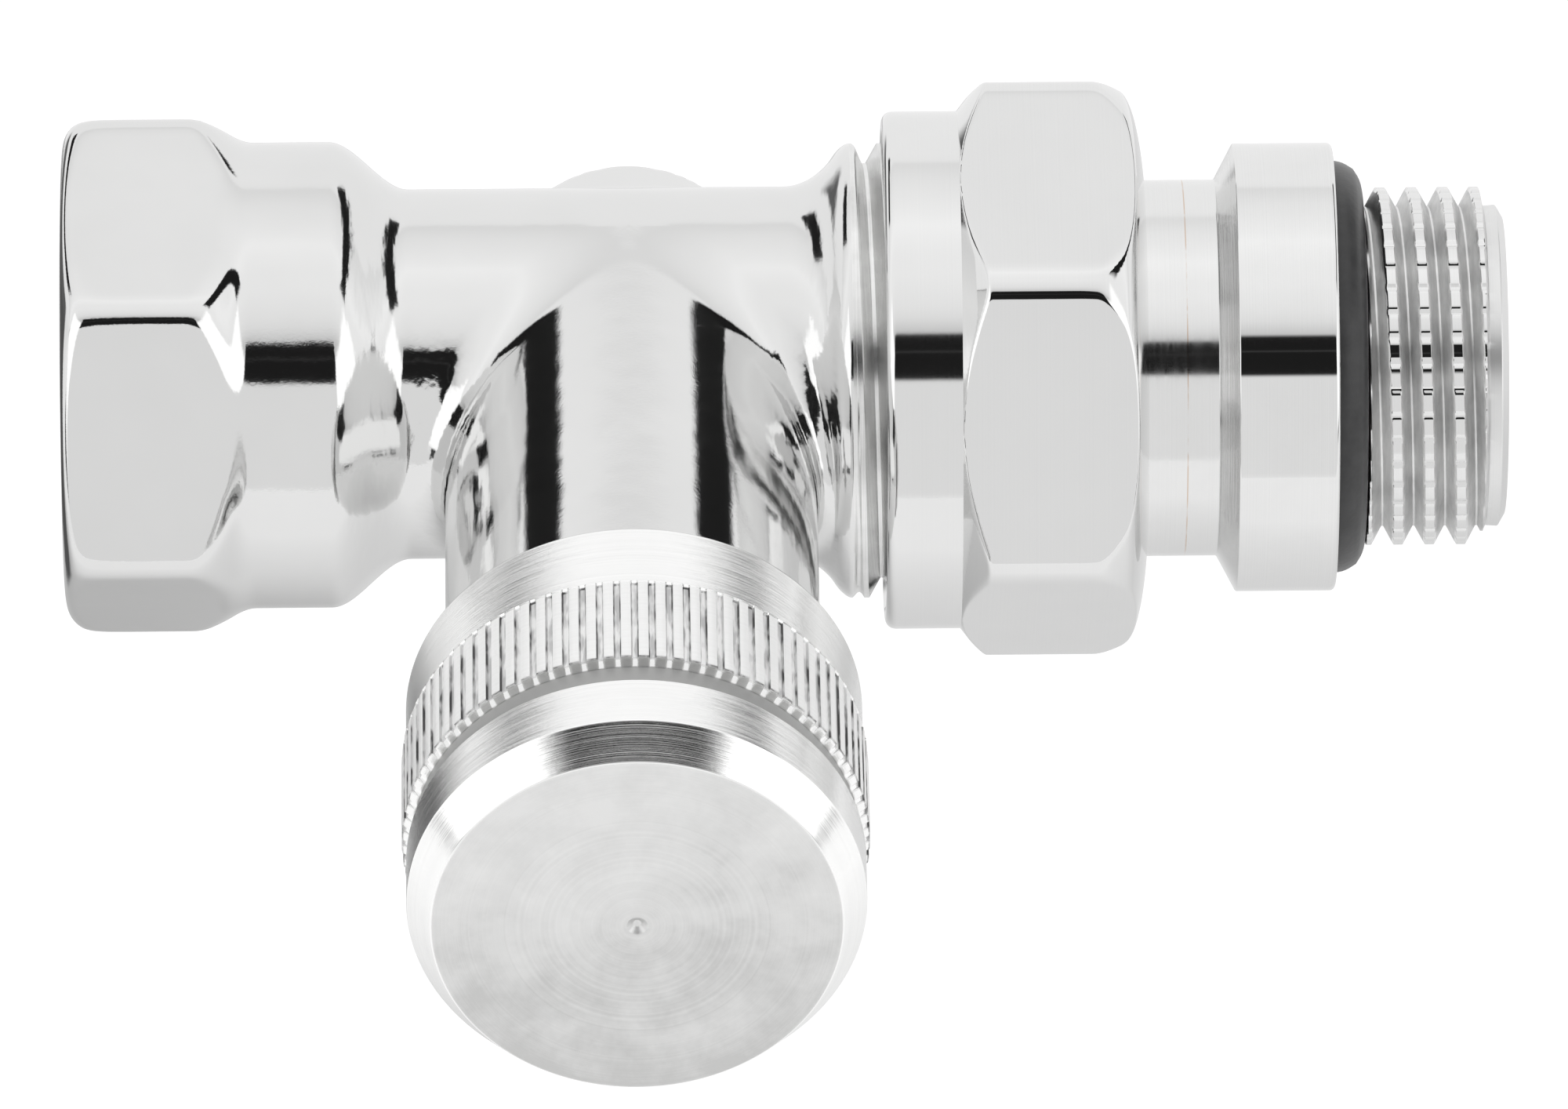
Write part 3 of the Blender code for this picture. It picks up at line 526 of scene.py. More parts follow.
def ringedFinish(name, metallic, look, aboutBranch):
    # two shades, clouded and in fine rings about the pipe or the branch
    finish, shader, place = newFinish(name, metallic)
    clouds = place.noise(*look["clouds"])
    rings = acrossTurning(place, aboutBranch).noise(*look["rings"])
    dress(shader, weigh(look["mix"], clouds, rings).shades(*look["shades"]),
          weigh(look["roughness"], clouds),
          weigh(look["relief"], clouds, rings).bump(look["height"]))
    return finish


def threadFinish():
    # threads straight from the die: grey, with drawn marks along the helix
    return ringedFinish("cutThread", 1.0, {
        "shades": ((0.3, (0.66, 0.66, 0.655)), (0.7, (0.88, 0.88, 0.875))), "mix": (0.0, 0.5, 0.5),
        "rings": (11.0, 3.0, 0.6), "clouds": (420, 4.0, 0.65),
        "roughness": (0.16, 0.12), "relief": (0.0, 0.2, 0.4), "height": 0.01,
    }, False)


def rubberFinish():
    # black rubber with a fine grain and a little dust
    look = {
        "shades": ((0.35, (0.022, 0.022, 0.023)), (0.8, (0.05, 0.05, 0.051))),
        "grain": (1500, 4.0, 0.6), "dust": (420, 3.0, 0.7),
        "roughness": (0.28, 0.2), "height": 0.02,
    }
    finish, shader, place = newFinish("blackRubber", 0.0)
    dust = place.noise(*look["dust"])
    dress(shader, dust.shades(*look["shades"]), weigh(look["roughness"], dust),
          place.noise(*look["grain"]).bump(look["height"]))
    return finish


def innerFinish(name, dark, light, roughness, metallic):
    # the pieces inside, with rings about the spindle
    return ringedFinish(name, metallic, {
        "shades": ((0.3, dark), (0.7, light)), "mix": (0.0, 0.4, 0.6),
        "rings": (9.0, 2.0), "clouds": (900, 3.0),
        "roughness": (roughness * 0.7, roughness * 0.6), "relief": (0.0, 0.5, 1.0), "height": 0.004,
    }, True)


brightPlate = platedFinish()
cutThread = threadFinish()
blackRubber = rubberFinish()
brass = innerFinish("brass", (0.62, 0.43, 0.17), (0.74, 0.55, 0.26), 0.28, 1.0)
springSteel = innerFinish("springSteel", (0.45, 0.46, 0.48), (0.58, 0.59, 0.61), 0.26, 1.0)
greyFibre = innerFinish("greyFibre", (0.24, 0.23, 0.21), (0.34, 0.33, 0.31), 0.75, 0.0)
print("finishes made")


# Valve body: the forging

forging = {
    "hexFlats": 27.2, "hexRounding": 2.2, "hexTurnDeg": 9.5,
    "mouthRadius": 12.7, "mouthRise": 4.0, "mouthLength": 3.0, "mouthEase": 1.6,
    "mouthBore": 10.62, "mouthDepth": 13.45, "pipeBore": 7.05, "boreEnd": 21.6,
    "shoulderStart": 8.0, "shoulderRadius": 15.5, "shoulderSlope": 0.84, "shoulderEase": 0.8,
    "collarRadius": 13.47, "collarStart": 9.5, "collarEnd": 15.4, "collarEase": 0.5,
    "collarTuck": 3.0, "pipeStart": 20.0, "pipeRadius": 10.69,
    "creaseSetback": 2.0, "creaseCosines": (-0.9, 0.9995), "creaseShift": 0.083,
    "creaseShiftFrom": 0.8,
    "padRadius": 6.9, "padFoot": 4.0, "padStand": 10.85, "padDraft": 0.36, "padRounding": 0.25,
    "padFillet": 0.4, "padCosine": 0.9999,
    "flareLean": [(41.7, 0), (43.2, 25), (44.15, 40), (44.5, 52), (44.8, 42), (45.25, 26),
                  (45.5, 0)],
    "flareEnd": 45.5, "flareRadius": 13.15, "outletBore": 9.35, "outletDepth": 0.6,
    "neckEnd": 33.0, "neckBore": 7.62, "neckFloor": 1.0,
    # columns round the pipe, rows along each stretch, and how rows bunch at one end
    "columns": 240, "mouthRows": 40, "mouthBunch": 1.6, "hexRows": (10, 44, 30), "hexLead": 0.8,
    "pipeRows": 40, "pipeBunch": 1.6, "flareRows": 110, "flareBunch": 1.2, "flareSteps": 200,
    "neckRows": 84, "neckBunch": 1.7, "rayPast": 0.002,
}
flareAlong, flareShare = leanCurve(forging["flareLean"], forging["flareSteps"])
flareShare = flareShare / flareShare[-1]


def teeField(point):
    # Distance outside the joined pipe, branch neck and back pad. The flared pipe and the neck
    # meet in a rolled crease that is equally wide all along, so its radius is the setback over
    # the tangent of half the angle between the two faces. The pad is a short tapered boss about
    # the branch's axis behind.
    x, y, z = point[..., 0] - branchX, point[..., 1], point[..., 2]
    flare = np.interp(point[..., 0], flareAlong, flareShare)
    flare = (forging["flareRadius"] - forging["pipeRadius"]) * flare
    lean = np.radians(np.interp(point[..., 0], *np.array(forging["flareLean"]).T))
    fromPipe = np.maximum(np.hypot(y, z), 1e-6)
    fromBranch = np.maximum(np.hypot(x, z), 1e-6)
    pipe = (fromPipe - forging["pipeRadius"] - flare) * np.cos(lean)
    neck = np.maximum(fromBranch - forging["pipeRadius"], y)
    flat = z * z / (fromPipe * fromBranch)
    cosine = flat * np.cos(lean) - x / fromBranch * np.sin(lean)
    cosine = np.clip(cosine, *forging["creaseCosines"])
    radius = forging["creaseSetback"] * np.sqrt((1 + cosine) / (1 - cosine))
    tee = -roundMax(-pipe, -neck, radius, cosine)
    taper = forging["padDraft"] * (forging["padStand"] - y)
    pad = roundMax(fromBranch - forging["padRadius"] - taper, y - forging["padStand"],
                   forging["padRounding"], 0.0)
    pad = np.maximum(pad, forging["padFoot"] - y)
    return -roundMax(-tee, -pad, forging["padFillet"], np.clip(flat, 0, forging["padCosine"]))


def hexEnd(x, hexagon):
    # radius of the socket's end: a hexagon cut back by a cone, over the collar, which eases into
    # the pipe along an S
    cone = forging["shoulderRadius"] - forging["shoulderSlope"] * (x - forging["shoulderStart"])
    cut = softMin(hexagon, cone, forging["shoulderEase"])
    fall = smoothStep((x - forging["collarEnd"]) / (forging["pipeStart"] - forging["collarEnd"]))
    collar = forging["collarRadius"] - (forging["collarRadius"] - forging["pipeRadius"]) * fall
    tuck = forging["collarTuck"]
    collar = collar - tuck * smoothStep((forging["collarStart"] - x) / tuck)
    return softMax(cut, collar, forging["collarEase"])


def mouthRows(hexagon):
    # the blind bores, the flat mouth, and a turned rounding that cuts the hexagon's end
    bores = [
        (forging["boreEnd"], 0.0), (forging["boreEnd"], forging["pipeBore"]),
        (forging["mouthDepth"], forging["pipeBore"]), (forging["mouthDepth"], forging["mouthBore"]),
        (bodyLow[0], forging["mouthBore"])]
    turn = math.pi / 2 * np.linspace(0, 1, forging["mouthRows"]) ** forging["mouthBunch"]
    edge = np.stack([bodyLow[0] + forging["mouthLength"] * (1 - np.cos(turn)),
                     forging["mouthRadius"] + forging["mouthRise"] * np.sin(turn)], 1)
    along, reach = np.concatenate([np.array(bores), edge]).T[:, :, None]
    radius = np.where(np.arange(len(along))[:, None] < len(bores), reach,
                      softMin(hexagon, reach, forging["mouthEase"]))
    return np.broadcast_to(along, radius.shape), radius


def creaseRays(across, side, upward):
    # rays from the tee's centre out through the crease; at the right the flare pushes it down
    shifted = smoothStep((across - forging["creaseShiftFrom"]) / (1 - forging["creaseShiftFrom"]))
    outward = 1 - forging["creaseShift"] * shifted * (side > 0)
    return np.stack([side * outward * across, -across, upward], -1)


def creasePoints(angle, side):
    # where the pipe's grid meets the branch's; at the back of the pipe its two halves simply
    # meet over the branch's axis
    across = np.maximum(-np.cos(angle), 0)
    direction = creaseRays(across, np.full_like(angle, side), np.sin(angle))
    direction[..., 1] = np.cos(angle)
    return branchX + direction[..., 0] * castRays(teeField, np.array([branchX, 0, 0]), direction)


def pipeRows(fromX, toX, share, angle):
    # the pipe between two edges that may follow its crease, by casting rays out from its axis
    along = fromX + (toX - fromX) * share[:, None]
    origin = np.stack([along, np.zeros_like(along), np.zeros_like(along)], -1)
    direction = np.broadcast_to(aroundPipe(0.0, 1.0, angle), origin.shape)
    return aroundPipe(along, castRays(teeField, origin, direction), angle)


def neckRows(angle):
    # the branch from the crease to its end, by casting rays out from its axis
    direction = creaseRays(np.abs(np.cos(angle)), np.sign(np.cos(angle)), np.sin(angle))
    angle = np.arctan2(direction[..., 2], direction[..., 0])
    reach = castRays(teeField, np.array([branchX, 0, 0]), direction)
    base = -reach * direction[..., 1]
    share = np.linspace(0, 1, forging["neckRows"])[:, None] ** forging["neckBunch"]
    along = base + (forging["neckEnd"] - base) * share
    origin = np.stack([np.full_like(along, branchX), -along, np.zeros_like(along)], -1)
    outward = np.stack([np.cos(angle), np.zeros_like(angle), np.sin(angle)], -1)
    far = np.hypot(direction[..., 0], direction[..., 2]) * reach + forging["rayPast"]
    radius = castRays(teeField, origin, np.broadcast_to(outward, origin.shape), far)
    inner = np.array([
        (forging["neckEnd"], forging["neckBore"]), (forging["neckFloor"], forging["neckBore"]),
        (forging["neckFloor"], 0.0)])
    innerShape = (len(inner), len(angle))
    along = np.concatenate([along, np.broadcast_to(inner[:, :1], innerShape)])
    radius = np.concatenate([radius, np.broadcast_to(inner[:, 1:], innerShape)])
    return aroundBranch(along, radius, angle)


def outletRows(angle):
    # the flare's end face and its bore
    floor = forging["flareEnd"] - forging["outletDepth"]
    rows = np.array([
        (forging["flareEnd"], forging["flareRadius"]), (forging["flareEnd"], forging["outletBore"]),
        (floor, forging["outletBore"]), (floor, 0.0)])
    return aroundPipe(rows[:, :1], rows[:, 1:], angle)


def buildForging():
    angle = evenAngles(forging["columns"])
    hexagon = hexReach(angle, forging["hexFlats"], forging["hexRounding"], forging["hexTurnDeg"])
    mouthAlong, mouthRadius = mouthRows(hexagon)
    lead = forging["shoulderStart"] - forging["hexLead"]
    stretches = [forging["mouthLength"], lead, forging["collarEnd"], forging["pipeStart"]]
    hexAlong = np.concatenate([
        np.linspace(start, end, rows)[1:]
        for start, end, rows in zip(stretches, stretches[1:], forging["hexRows"])])[:, None]
    socket = aroundPipe(
        np.concatenate([mouthAlong, np.broadcast_to(hexAlong, (len(hexAlong), len(angle)))]),
        np.concatenate([mouthRadius, hexEnd(hexAlong, hexagon)]), angle)
    towardsCrease = 1 - (1 - np.linspace(0, 1, forging["pipeRows"])) ** forging["pipeBunch"]
    fromCrease = np.linspace(0, 1, forging["flareRows"]) ** forging["flareBunch"]
    before = pipeRows(forging["pipeStart"], creasePoints(angle, -1), towardsCrease, angle)
    after = pipeRows(creasePoints(angle, 1), forging["flareEnd"], fromCrease, angle)
    addPiece("bodyForging", [socket, before, after, outletRows(angle), neckRows(angle)],
             "body", brightPlate, ["valve_body"])


buildForging()


# Valve body: the cut threads

unionThread = {
    "crest": 13.15, "root": 12.0, "pitch": 1.814, "crestAt": 45.45, "crestAngleDeg": 52.8,
    "fade": 0.7, "bandEnd": 54.7, "endRadius": 12.1, "bore": 9.3, "columns": 240,
}
socketThread = {
    "crest": 9.35, "root": 10.45, "pitch": 1.814, "mouth": 10.58, "inset": 0.02, "bandEnd": 11.8,
    "fade": 1.4, "end": 13.4, "bore": 7.05, "columns": 180,
}
capThread = {
    "crest": 9.9, "root": 9.0, "pitch": 1.5, "start": 36.2, "bandEnd": 42.7, "fade": 0.9,
    "mouth": 45.0, "chamfer": 0.4, "bore": 7.64, "columns": 160,
}


def addThread(name, place, thread, start, radiusAt, corners, crestAt, crestAngle=0.0):
    # a band of thread, closed by a turned profile that runs back from its end to its start
    band = helixBand(place, start, thread["bandEnd"], thread["pitch"], radiusAt,
                     thread["columns"], crestAt, crestAngle)
    rest = turnedGrid(place, corners, evenAngles(thread["columns"]))
    addPiece(name, [band, rest], "body", cutThread)


def buildUnionThread():
    # a helix cut into a cylinder that carries on from the flare
    thread, start = unionThread, forging["flareEnd"]
    cut = thread["crest"] - thread["root"]

    def radiusAt(fromCrest, along, angle):
        fade = threadFade(along, start, thread["bandEnd"], thread["fade"])
        return thread["crest"] - cut * (1 - threadRise(fromCrest)) * fade

    addThread("bodyUnionThread", aroundPipe, thread, start, radiusAt, [
        (thread["bandEnd"], thread["crest"]), (bodyHigh[0], thread["endRadius"]),
        (bodyHigh[0], thread["bore"]), (start, thread["bore"]), (start, thread["crest"]),
    ], thread["crestAt"], math.radians(thread["crestAngleDeg"]))


def buildSocketThread():
    # the pipe socket's female thread, which runs out into a chamfer at the mouth
    thread, start = socketThread, bodyLow[0] + socketThread["inset"]
    cut = thread["root"] - thread["crest"]

    def radiusAt(fromCrest, along, angle):
        fade = smoothStep((thread["bandEnd"] - along) / thread["fade"])
        ridge = thread["crest"] + cut * threadRise(fromCrest) * fade
        return np.maximum(ridge, thread["mouth"] - (along - start))

    addThread("bodySocketThread", aroundPipe, thread, start, radiusAt, [
        (thread["bandEnd"], thread["crest"]), (thread["bandEnd"], thread["bore"]),
        (thread["end"], thread["bore"]), (thread["end"], thread["mouth"]),
        (start, thread["mouth"]),
    ], start)


def buildCapThread():
    # the turned end of the neck with the ridge that the cap screws on
    thread, start, neckEnd = capThread, capThread["start"], forging["neckEnd"]
    height = thread["crest"] - thread["root"]

    def radiusAt(fromCrest, along, angle):
        fade = threadFade(along, start, thread["bandEnd"], thread["fade"])
        return thread["root"] + height * threadRise(fromCrest) * fade

    addThread("bodyCapThread", aroundBranch, thread, start, radiusAt, [
        (thread["bandEnd"], thread["root"]), (thread["mouth"] - thread["chamfer"], thread["root"]),
        (thread["mouth"], thread["root"] - thread["chamfer"]), (thread["mouth"], thread["bore"]),
        (neckEnd, thread["bore"]), (neckEnd, thread["root"]), (start, thread["root"]),
    ], start)


buildUnionThread()
buildSocketThread()
buildCapThread()


# Union nut

nut = {
    "flats": 30.1, "rounding": 2.6, "turnDeg": 6.5, "ease": 0.2, "easeOver": 0.8,
    "collarRadius": 14.97, "collarEnd": 51.75, "collarRounding": 0.6, "rampSlope": 1.3,
    "rampEnd": 53.8, "domeRadius": 17.05,
    "domeLean": [(-3.05, 16), (-2.75, 24), (-1.45, 34), (-1.15, 48), (-0.9, 62), (-0.5, 75),
                 (0, 85)],
    "bore": 13.52, "mouthChamfer": 0.5, "pocketStart": 56.9, "pocketRadius": 12.88,
    "shoulder": 58.9, "backBore": 11.18,
    "columns": 288, "rampRows": 36, "flatRows": 30, "domeRows": 56,
}


def buildNut():
    # radius = the smaller of a rounded hexagon and a turned outline, eased where they cross: a
    # steep ramp up from the collar, and at the back a dome that leans more and more
    angle = evenAngles(nut["columns"])
    inside = turnedGrid(aroundPipe, [
        (nutHigh[0], nut["backBore"]), (nut["shoulder"], nut["backBore"]),
        (nut["shoulder"], nut["pocketRadius"]), (nut["pocketStart"], nut["pocketRadius"]),
        (nut["pocketStart"], nut["bore"]), (nutLow[0] + nut["mouthChamfer"], nut["bore"]),
        (nutLow[0], nut["bore"] + nut["mouthChamfer"]),
        (nutLow[0], nut["collarRadius"], nut["collarRounding"]),
        (nut["collarEnd"], nut["collarRadius"]),
    ], angle)
    ramp = np.linspace(nut["collarEnd"], nut["rampEnd"], nut["rampRows"])
    rampReach = nut["collarRadius"] + (ramp - nut["collarEnd"]) * nut["rampSlope"]
    dome, domeFall = leanCurve(nut["domeLean"], nut["domeRows"])
    dome, domeReach = nutHigh[0] + dome, nut["domeRadius"] - domeFall
    flat = np.linspace(ramp[-1], dome[0], nut["flatRows"])[1:-1]
    flatReach = np.linspace(rampReach[-1], domeReach[0], nut["flatRows"])[1:-1]
    along = np.concatenate([ramp, flat, dome])[:, None]
    reach = np.concatenate([rampReach, flatReach, domeReach])[:, None]
    ease = nut["ease"] * smoothStep((along - nut["collarEnd"]) / nut["easeOver"]) + 1e-6
    hexagon = hexReach(angle, nut["flats"], nut["rounding"], nut["turnDeg"])
    outside = aroundPipe(along, softMin(hexagon, reach, ease), angle)
    lip = aroundPipe(nutHigh[0], np.array([[domeReach[-1]], [nut["backBore"]]]), angle)
    addPiece("unionNut", [inside, outside, lip], "nut", nutFinish(), ["union_nut"])


buildNut()


# Tailpiece and its ring

tail = {
    "spigotRadius": 9.0, "spigotChamfer": 0.4, "ringStart": 50.8, "ringEnd": 53.0, "ringRoot": 7.05,
    "shoulder": 56.0, "neckRadius": 10.88, "snapStart": 57.1, "snapEnd": 58.7, "snapRoot": 10.06,
    "neckEnd": 66.6, "neckFillet": 0.15, "collarStart": 67.7, "collarRadius": 12.96,
    "collarFillet": 0.12, "face": 73.45, "faceRounding": 0.3,
    "sealOuter": 12.07, "sealRounding": 0.1, "sealFloor": 71.59, "sealRoot": 8.35,
    "threadStart": 75.05, "crest": 10.35, "peak": 10.84, "root": 9.25, "floor": 0.03,
    "pitch": 1.814, "crestAt": 76.24, "crestAngleDeg": 52.8, "fade": 0.3,
    "notches": 43, "notchDepth": 0.14, "notchShare": 0.16, "bandEnd": 82.2,
    "leadEnd": 82.9, "leadRadius": 9.3, "leadFillet": 0.12,
    "endRadius": 8.6, "endRounding": 0.1, "endLand": 0.8, "endShort": 0.5,
    "keyFlats": 12.0, "keyStart": 69.8, "keyRounding": 0.3, "keyChamfer": 0.4, "bore": 6.5,
    "columns": 450,
}


def buildTail():
    angle = evenAngles(tail["columns"])
    tailEnd = tailHigh[0] - tail["endShort"]
    endInner = tail["endRadius"] - tail["endLand"]

    def radiusAt(fromCrest, along, angle):
        # a ridge on the root's cylinder, with notches pressed across its crests
        fade = threadFade(along, tail["threadStart"], tail["bandEnd"], tail["fade"])
        notch = np.abs((angle * tail["notches"] / (2 * math.pi) + 0.5) % 1 - 0.5)
        press = np.clip(1 - notch / tail["notchShare"], 0, 1) * tail["notchDepth"]
        rise = threadRise(fromCrest, 0.0, tail["floor"]) * fade
        ridge = tail["root"] + (tail["peak"] - tail["root"]) * rise
        return np.minimum(ridge, tail["crest"] - press)

    outside = turnedGrid(aroundPipe, [
        (tailLow[0], tail["bore"]), (tailLow[0], tail["spigotRadius"] - tail["spigotChamfer"]),
        (tailLow[0] + tail["spigotChamfer"], tail["spigotRadius"]),
        (tail["ringStart"], tail["spigotRadius"]),
        (tail["ringStart"], tail["ringRoot"]), (tail["ringEnd"], tail["ringRoot"]),
        (tail["ringEnd"], tail["spigotRadius"]), (tail["shoulder"], tail["spigotRadius"]),
        (tail["shoulder"], tail["neckRadius"]), (tail["snapStart"], tail["neckRadius"]),
        (tail["snapStart"], tail["snapRoot"]), (tail["snapEnd"], tail["snapRoot"]),
        (tail["snapEnd"], tail["neckRadius"]),
        (tail["neckEnd"], tail["neckRadius"], tail["neckFillet"]),
        (tail["collarStart"], tail["collarRadius"], tail["collarFillet"]),
        (tail["face"], tail["collarRadius"], tail["faceRounding"]),
        (tail["face"], tail["sealOuter"], tail["sealRounding"]),
        (tail["sealFloor"], tail["sealOuter"]),
        (tail["sealFloor"], tail["sealRoot"]), (tail["threadStart"], tail["sealRoot"]),
        (tail["threadStart"], tail["root"]),
    ], angle)
    band = helixBand(aroundPipe, tail["threadStart"], tail["bandEnd"], tail["pitch"], radiusAt,
                     tail["columns"], tail["crestAt"], math.radians(tail["crestAngleDeg"]))
    lead = turnedGrid(aroundPipe, [
        (tail["bandEnd"], tail["root"]), (tail["leadEnd"], tail["leadRadius"], tail["leadFillet"]),
        (tailEnd, tail["endRadius"], tail["endRounding"]), (tailEnd, endInner),
    ], angle)
    # the key's hexagon, with a chamfer at its mouth, and the round bore beyond it
    key = hexReach(angle, tail["keyFlats"], tail["keyRounding"], 0.0)[None, :]
    bore = np.full_like(key, tail["bore"])
    chamfer = tail["keyChamfer"]
    keyway = aroundPipe(
        np.array([tailEnd, tailEnd, tailEnd - chamfer, tail["keyStart"], tail["keyStart"],
                  tailLow[0]])[:, None],
        np.concatenate([np.full_like(key, endInner), key + chamfer, key, key, bore, bore]), angle)
    addPiece("tailpieceTurned", [outside, band, lead, keyway], "tail", tailFinish(),
             ["tailpiece"])


seal = {
    "section": 1.75, "setBack": 0.35, "mouldRidge": 0.04, "mouldWidth": 0.09,
    "columns": 200, "around": 48,
}


def buildSeal():
    # a ring of round section, with the fine ridge where its mould halves met
    angle = evenAngles(seal["columns"])
    turn = np.linspace(0, 2 * math.pi, seal["around"] + 1)[:, None]
    ridge = np.exp(-((np.sin(turn - math.pi / 4) / seal["mouldWidth"]) ** 2)) * seal["mouldRidge"]
    section = seal["section"] + ridge - seal["mouldRidge"]
    middle = (sealLow[0] + sealHigh[0]) / 2 - seal["setBack"]
    centre = sealHigh[2] - seal["section"]
    ring = aroundPipe(middle + section * np.sin(turn), centre + section * np.cos(turn), angle)
    addPiece("radiatorSeal", [ring], "tail", blackRubber, ["radiator_o_ring"])


buildTail()
buildSeal()


# Cap

cap = {
    "radius": 12.95, "rearRounding": 0.25, "skirtBore": 11.0, "skirtEnd": 33.3, "bore": 10.2,
    "roof": 48.6, "knurlStart": 36.8, "knurlEnd": 44.15, "knurlRadius": 13.19, "knurlBevel": 0.35,
    "knurlFoot": 0.04, "knurlRows": 12, "ridges": 84, "grooveDepth": 0.16, "grooveShare": 0.22,
    "floorShare": 0.13, "landShares": (0.32, 0.40, 0.5), "crown": 0.15,
    "grooveRadius": 12.62, "grooveFillet": 0.1, "grooveSlope": 0.12, "grooveEnd": 45.7,
    "bandRounding": 0.12, "chamferStart": 49.4, "faceRadius": 11.59, "edgeRounding": 0.18,
    "pipRadius": 0.62, "pipRounding": 0.15, "pipFloor": 0.22, "pipFillet": 0.12, "pipDepth": 0.3,
}


def buildCap():
    # turned outline with straight grooves: radius = outline - depth * groove, where the groove is
    # flat along its floor and steep at both sides, once in every ridge's share of the turn
    reach, floor = cap["grooveShare"], cap["floorShare"]
    across = np.array([0, floor, reach, *cap["landShares"]])
    across = np.concatenate([across, 1 - across[-2:0:-1]])
    ridge = np.arange(cap["ridges"])[:, None]
    angle = ((ridge + across) * 2 * math.pi / cap["ridges"]).ravel()
    fromGroove = np.minimum(across, 1 - across)
    crown = 1 - ((0.5 - np.maximum(fromGroove, reach)) / (0.5 - reach)) ** 2
    groove = np.clip((reach - fromGroove) / (reach - floor), 0, 1) - crown * cap["crown"]
    groove = np.tile(groove, cap["ridges"])
    rear, front = -capHigh[1], -capLow[1]
    start, end = cap["knurlStart"], cap["knurlEnd"]
    crest, bevelled = cap["knurlRadius"], end - cap["knurlBevel"]
    foot, floor = end + cap["knurlFoot"], front - cap["pipDepth"]
    rearBand = turnedGrid(aroundBranch, [
        (cap["roof"], 0.0), (cap["roof"], cap["bore"]), (cap["skirtEnd"], cap["bore"]),
        (cap["skirtEnd"], cap["skirtBore"]), (rear, cap["skirtBore"]),
        (rear, cap["radius"], cap["rearRounding"]), (start, cap["radius"]),
    ], angle)
    # the knurl's rows: place along, radius, and share of the grooves' full depth
    rows = np.array([
        (start, cap["radius"], 0.0), (start + 0.02, crest - 0.1, 0.0), (start + 0.12, crest, 0.1),
        (start + 0.5, crest, 1.0),
        *[(along, crest, 1.0) for along in np.linspace(start + 1, end - 1, cap["knurlRows"])],
        (bevelled - 0.05, crest, 1.0), (bevelled, crest, 1.0),
        (end, cap["grooveRadius"] + 0.06, 0.2), (foot, cap["grooveRadius"], 0.0),
    ])
    along, outline, share = rows.T[:, :, None]
    knurl = aroundBranch(along, outline - cap["grooveDepth"] * share * groove, angle)
    frontBand = turnedGrid(aroundBranch, [
        (foot, cap["grooveRadius"]),
        (cap["grooveEnd"] - cap["grooveSlope"], cap["grooveRadius"], cap["grooveFillet"]),
        (cap["grooveEnd"], cap["radius"], cap["bandRounding"]),
        (cap["chamferStart"], cap["radius"], cap["edgeRounding"]),
        (front, cap["faceRadius"], cap["edgeRounding"]),
        (front, cap["pipRadius"], cap["pipRounding"]),
        (floor, cap["pipFloor"], cap["pipFillet"]), (floor, 0.0),
    ], angle)
    addPiece("capTurned", [rearBand, knurl, frontBand], "cap", capFinish(),
             ["cap"])


buildCap()


# Inner pieces keep their solids and get their finishes

innerPieces = [
    (brass, ["valve_insert", "spindle", "valve_plug", "thrust_washer", "stop_washer",
             "washer_screw"]),
    (blackRubber, ["insert_o_ring", "spindle_o_ring_lower", "spindle_o_ring_upper",
                   "seat_washer", "cone_o_ring"]),
    (springSteel, ["retaining_clip", "plug_clip", "union_snap_ring"]),
    (greyFibre, ["cap_gasket"]),
]
for finish, names in innerPieces:
    for name in names:
        nodes[name].data.materials.clear()
        nodes[name].data.materials.append(finish)
print("inner pieces finished")


# Floor, light and camera

studio = {
    "floorDrop": 130.0, "floorSide": 340.0, "floorFront": 339.0, "floorBack": 235.0,
    "floorNear": (0.80, 0.80, 0.80), "floorFar": (0.50, 0.50, 0.50), "floorFade": 400.0,
    "fadeStops": (0.2, 0.65), "roughness": 0.9, "cameraWhite": 0.6,
    "mirrorWhite": (0.06, 0.30), "mirrorMiddle": 23.0, "mirrorSoft": 35.0, "mirrorBehind": 60.0,
    "darkEnd": (60.0, 60.0), "darkSoft": (12.0, 20.0), "darkShade": (0.1, 0.1, 0.1, 1.0),
}


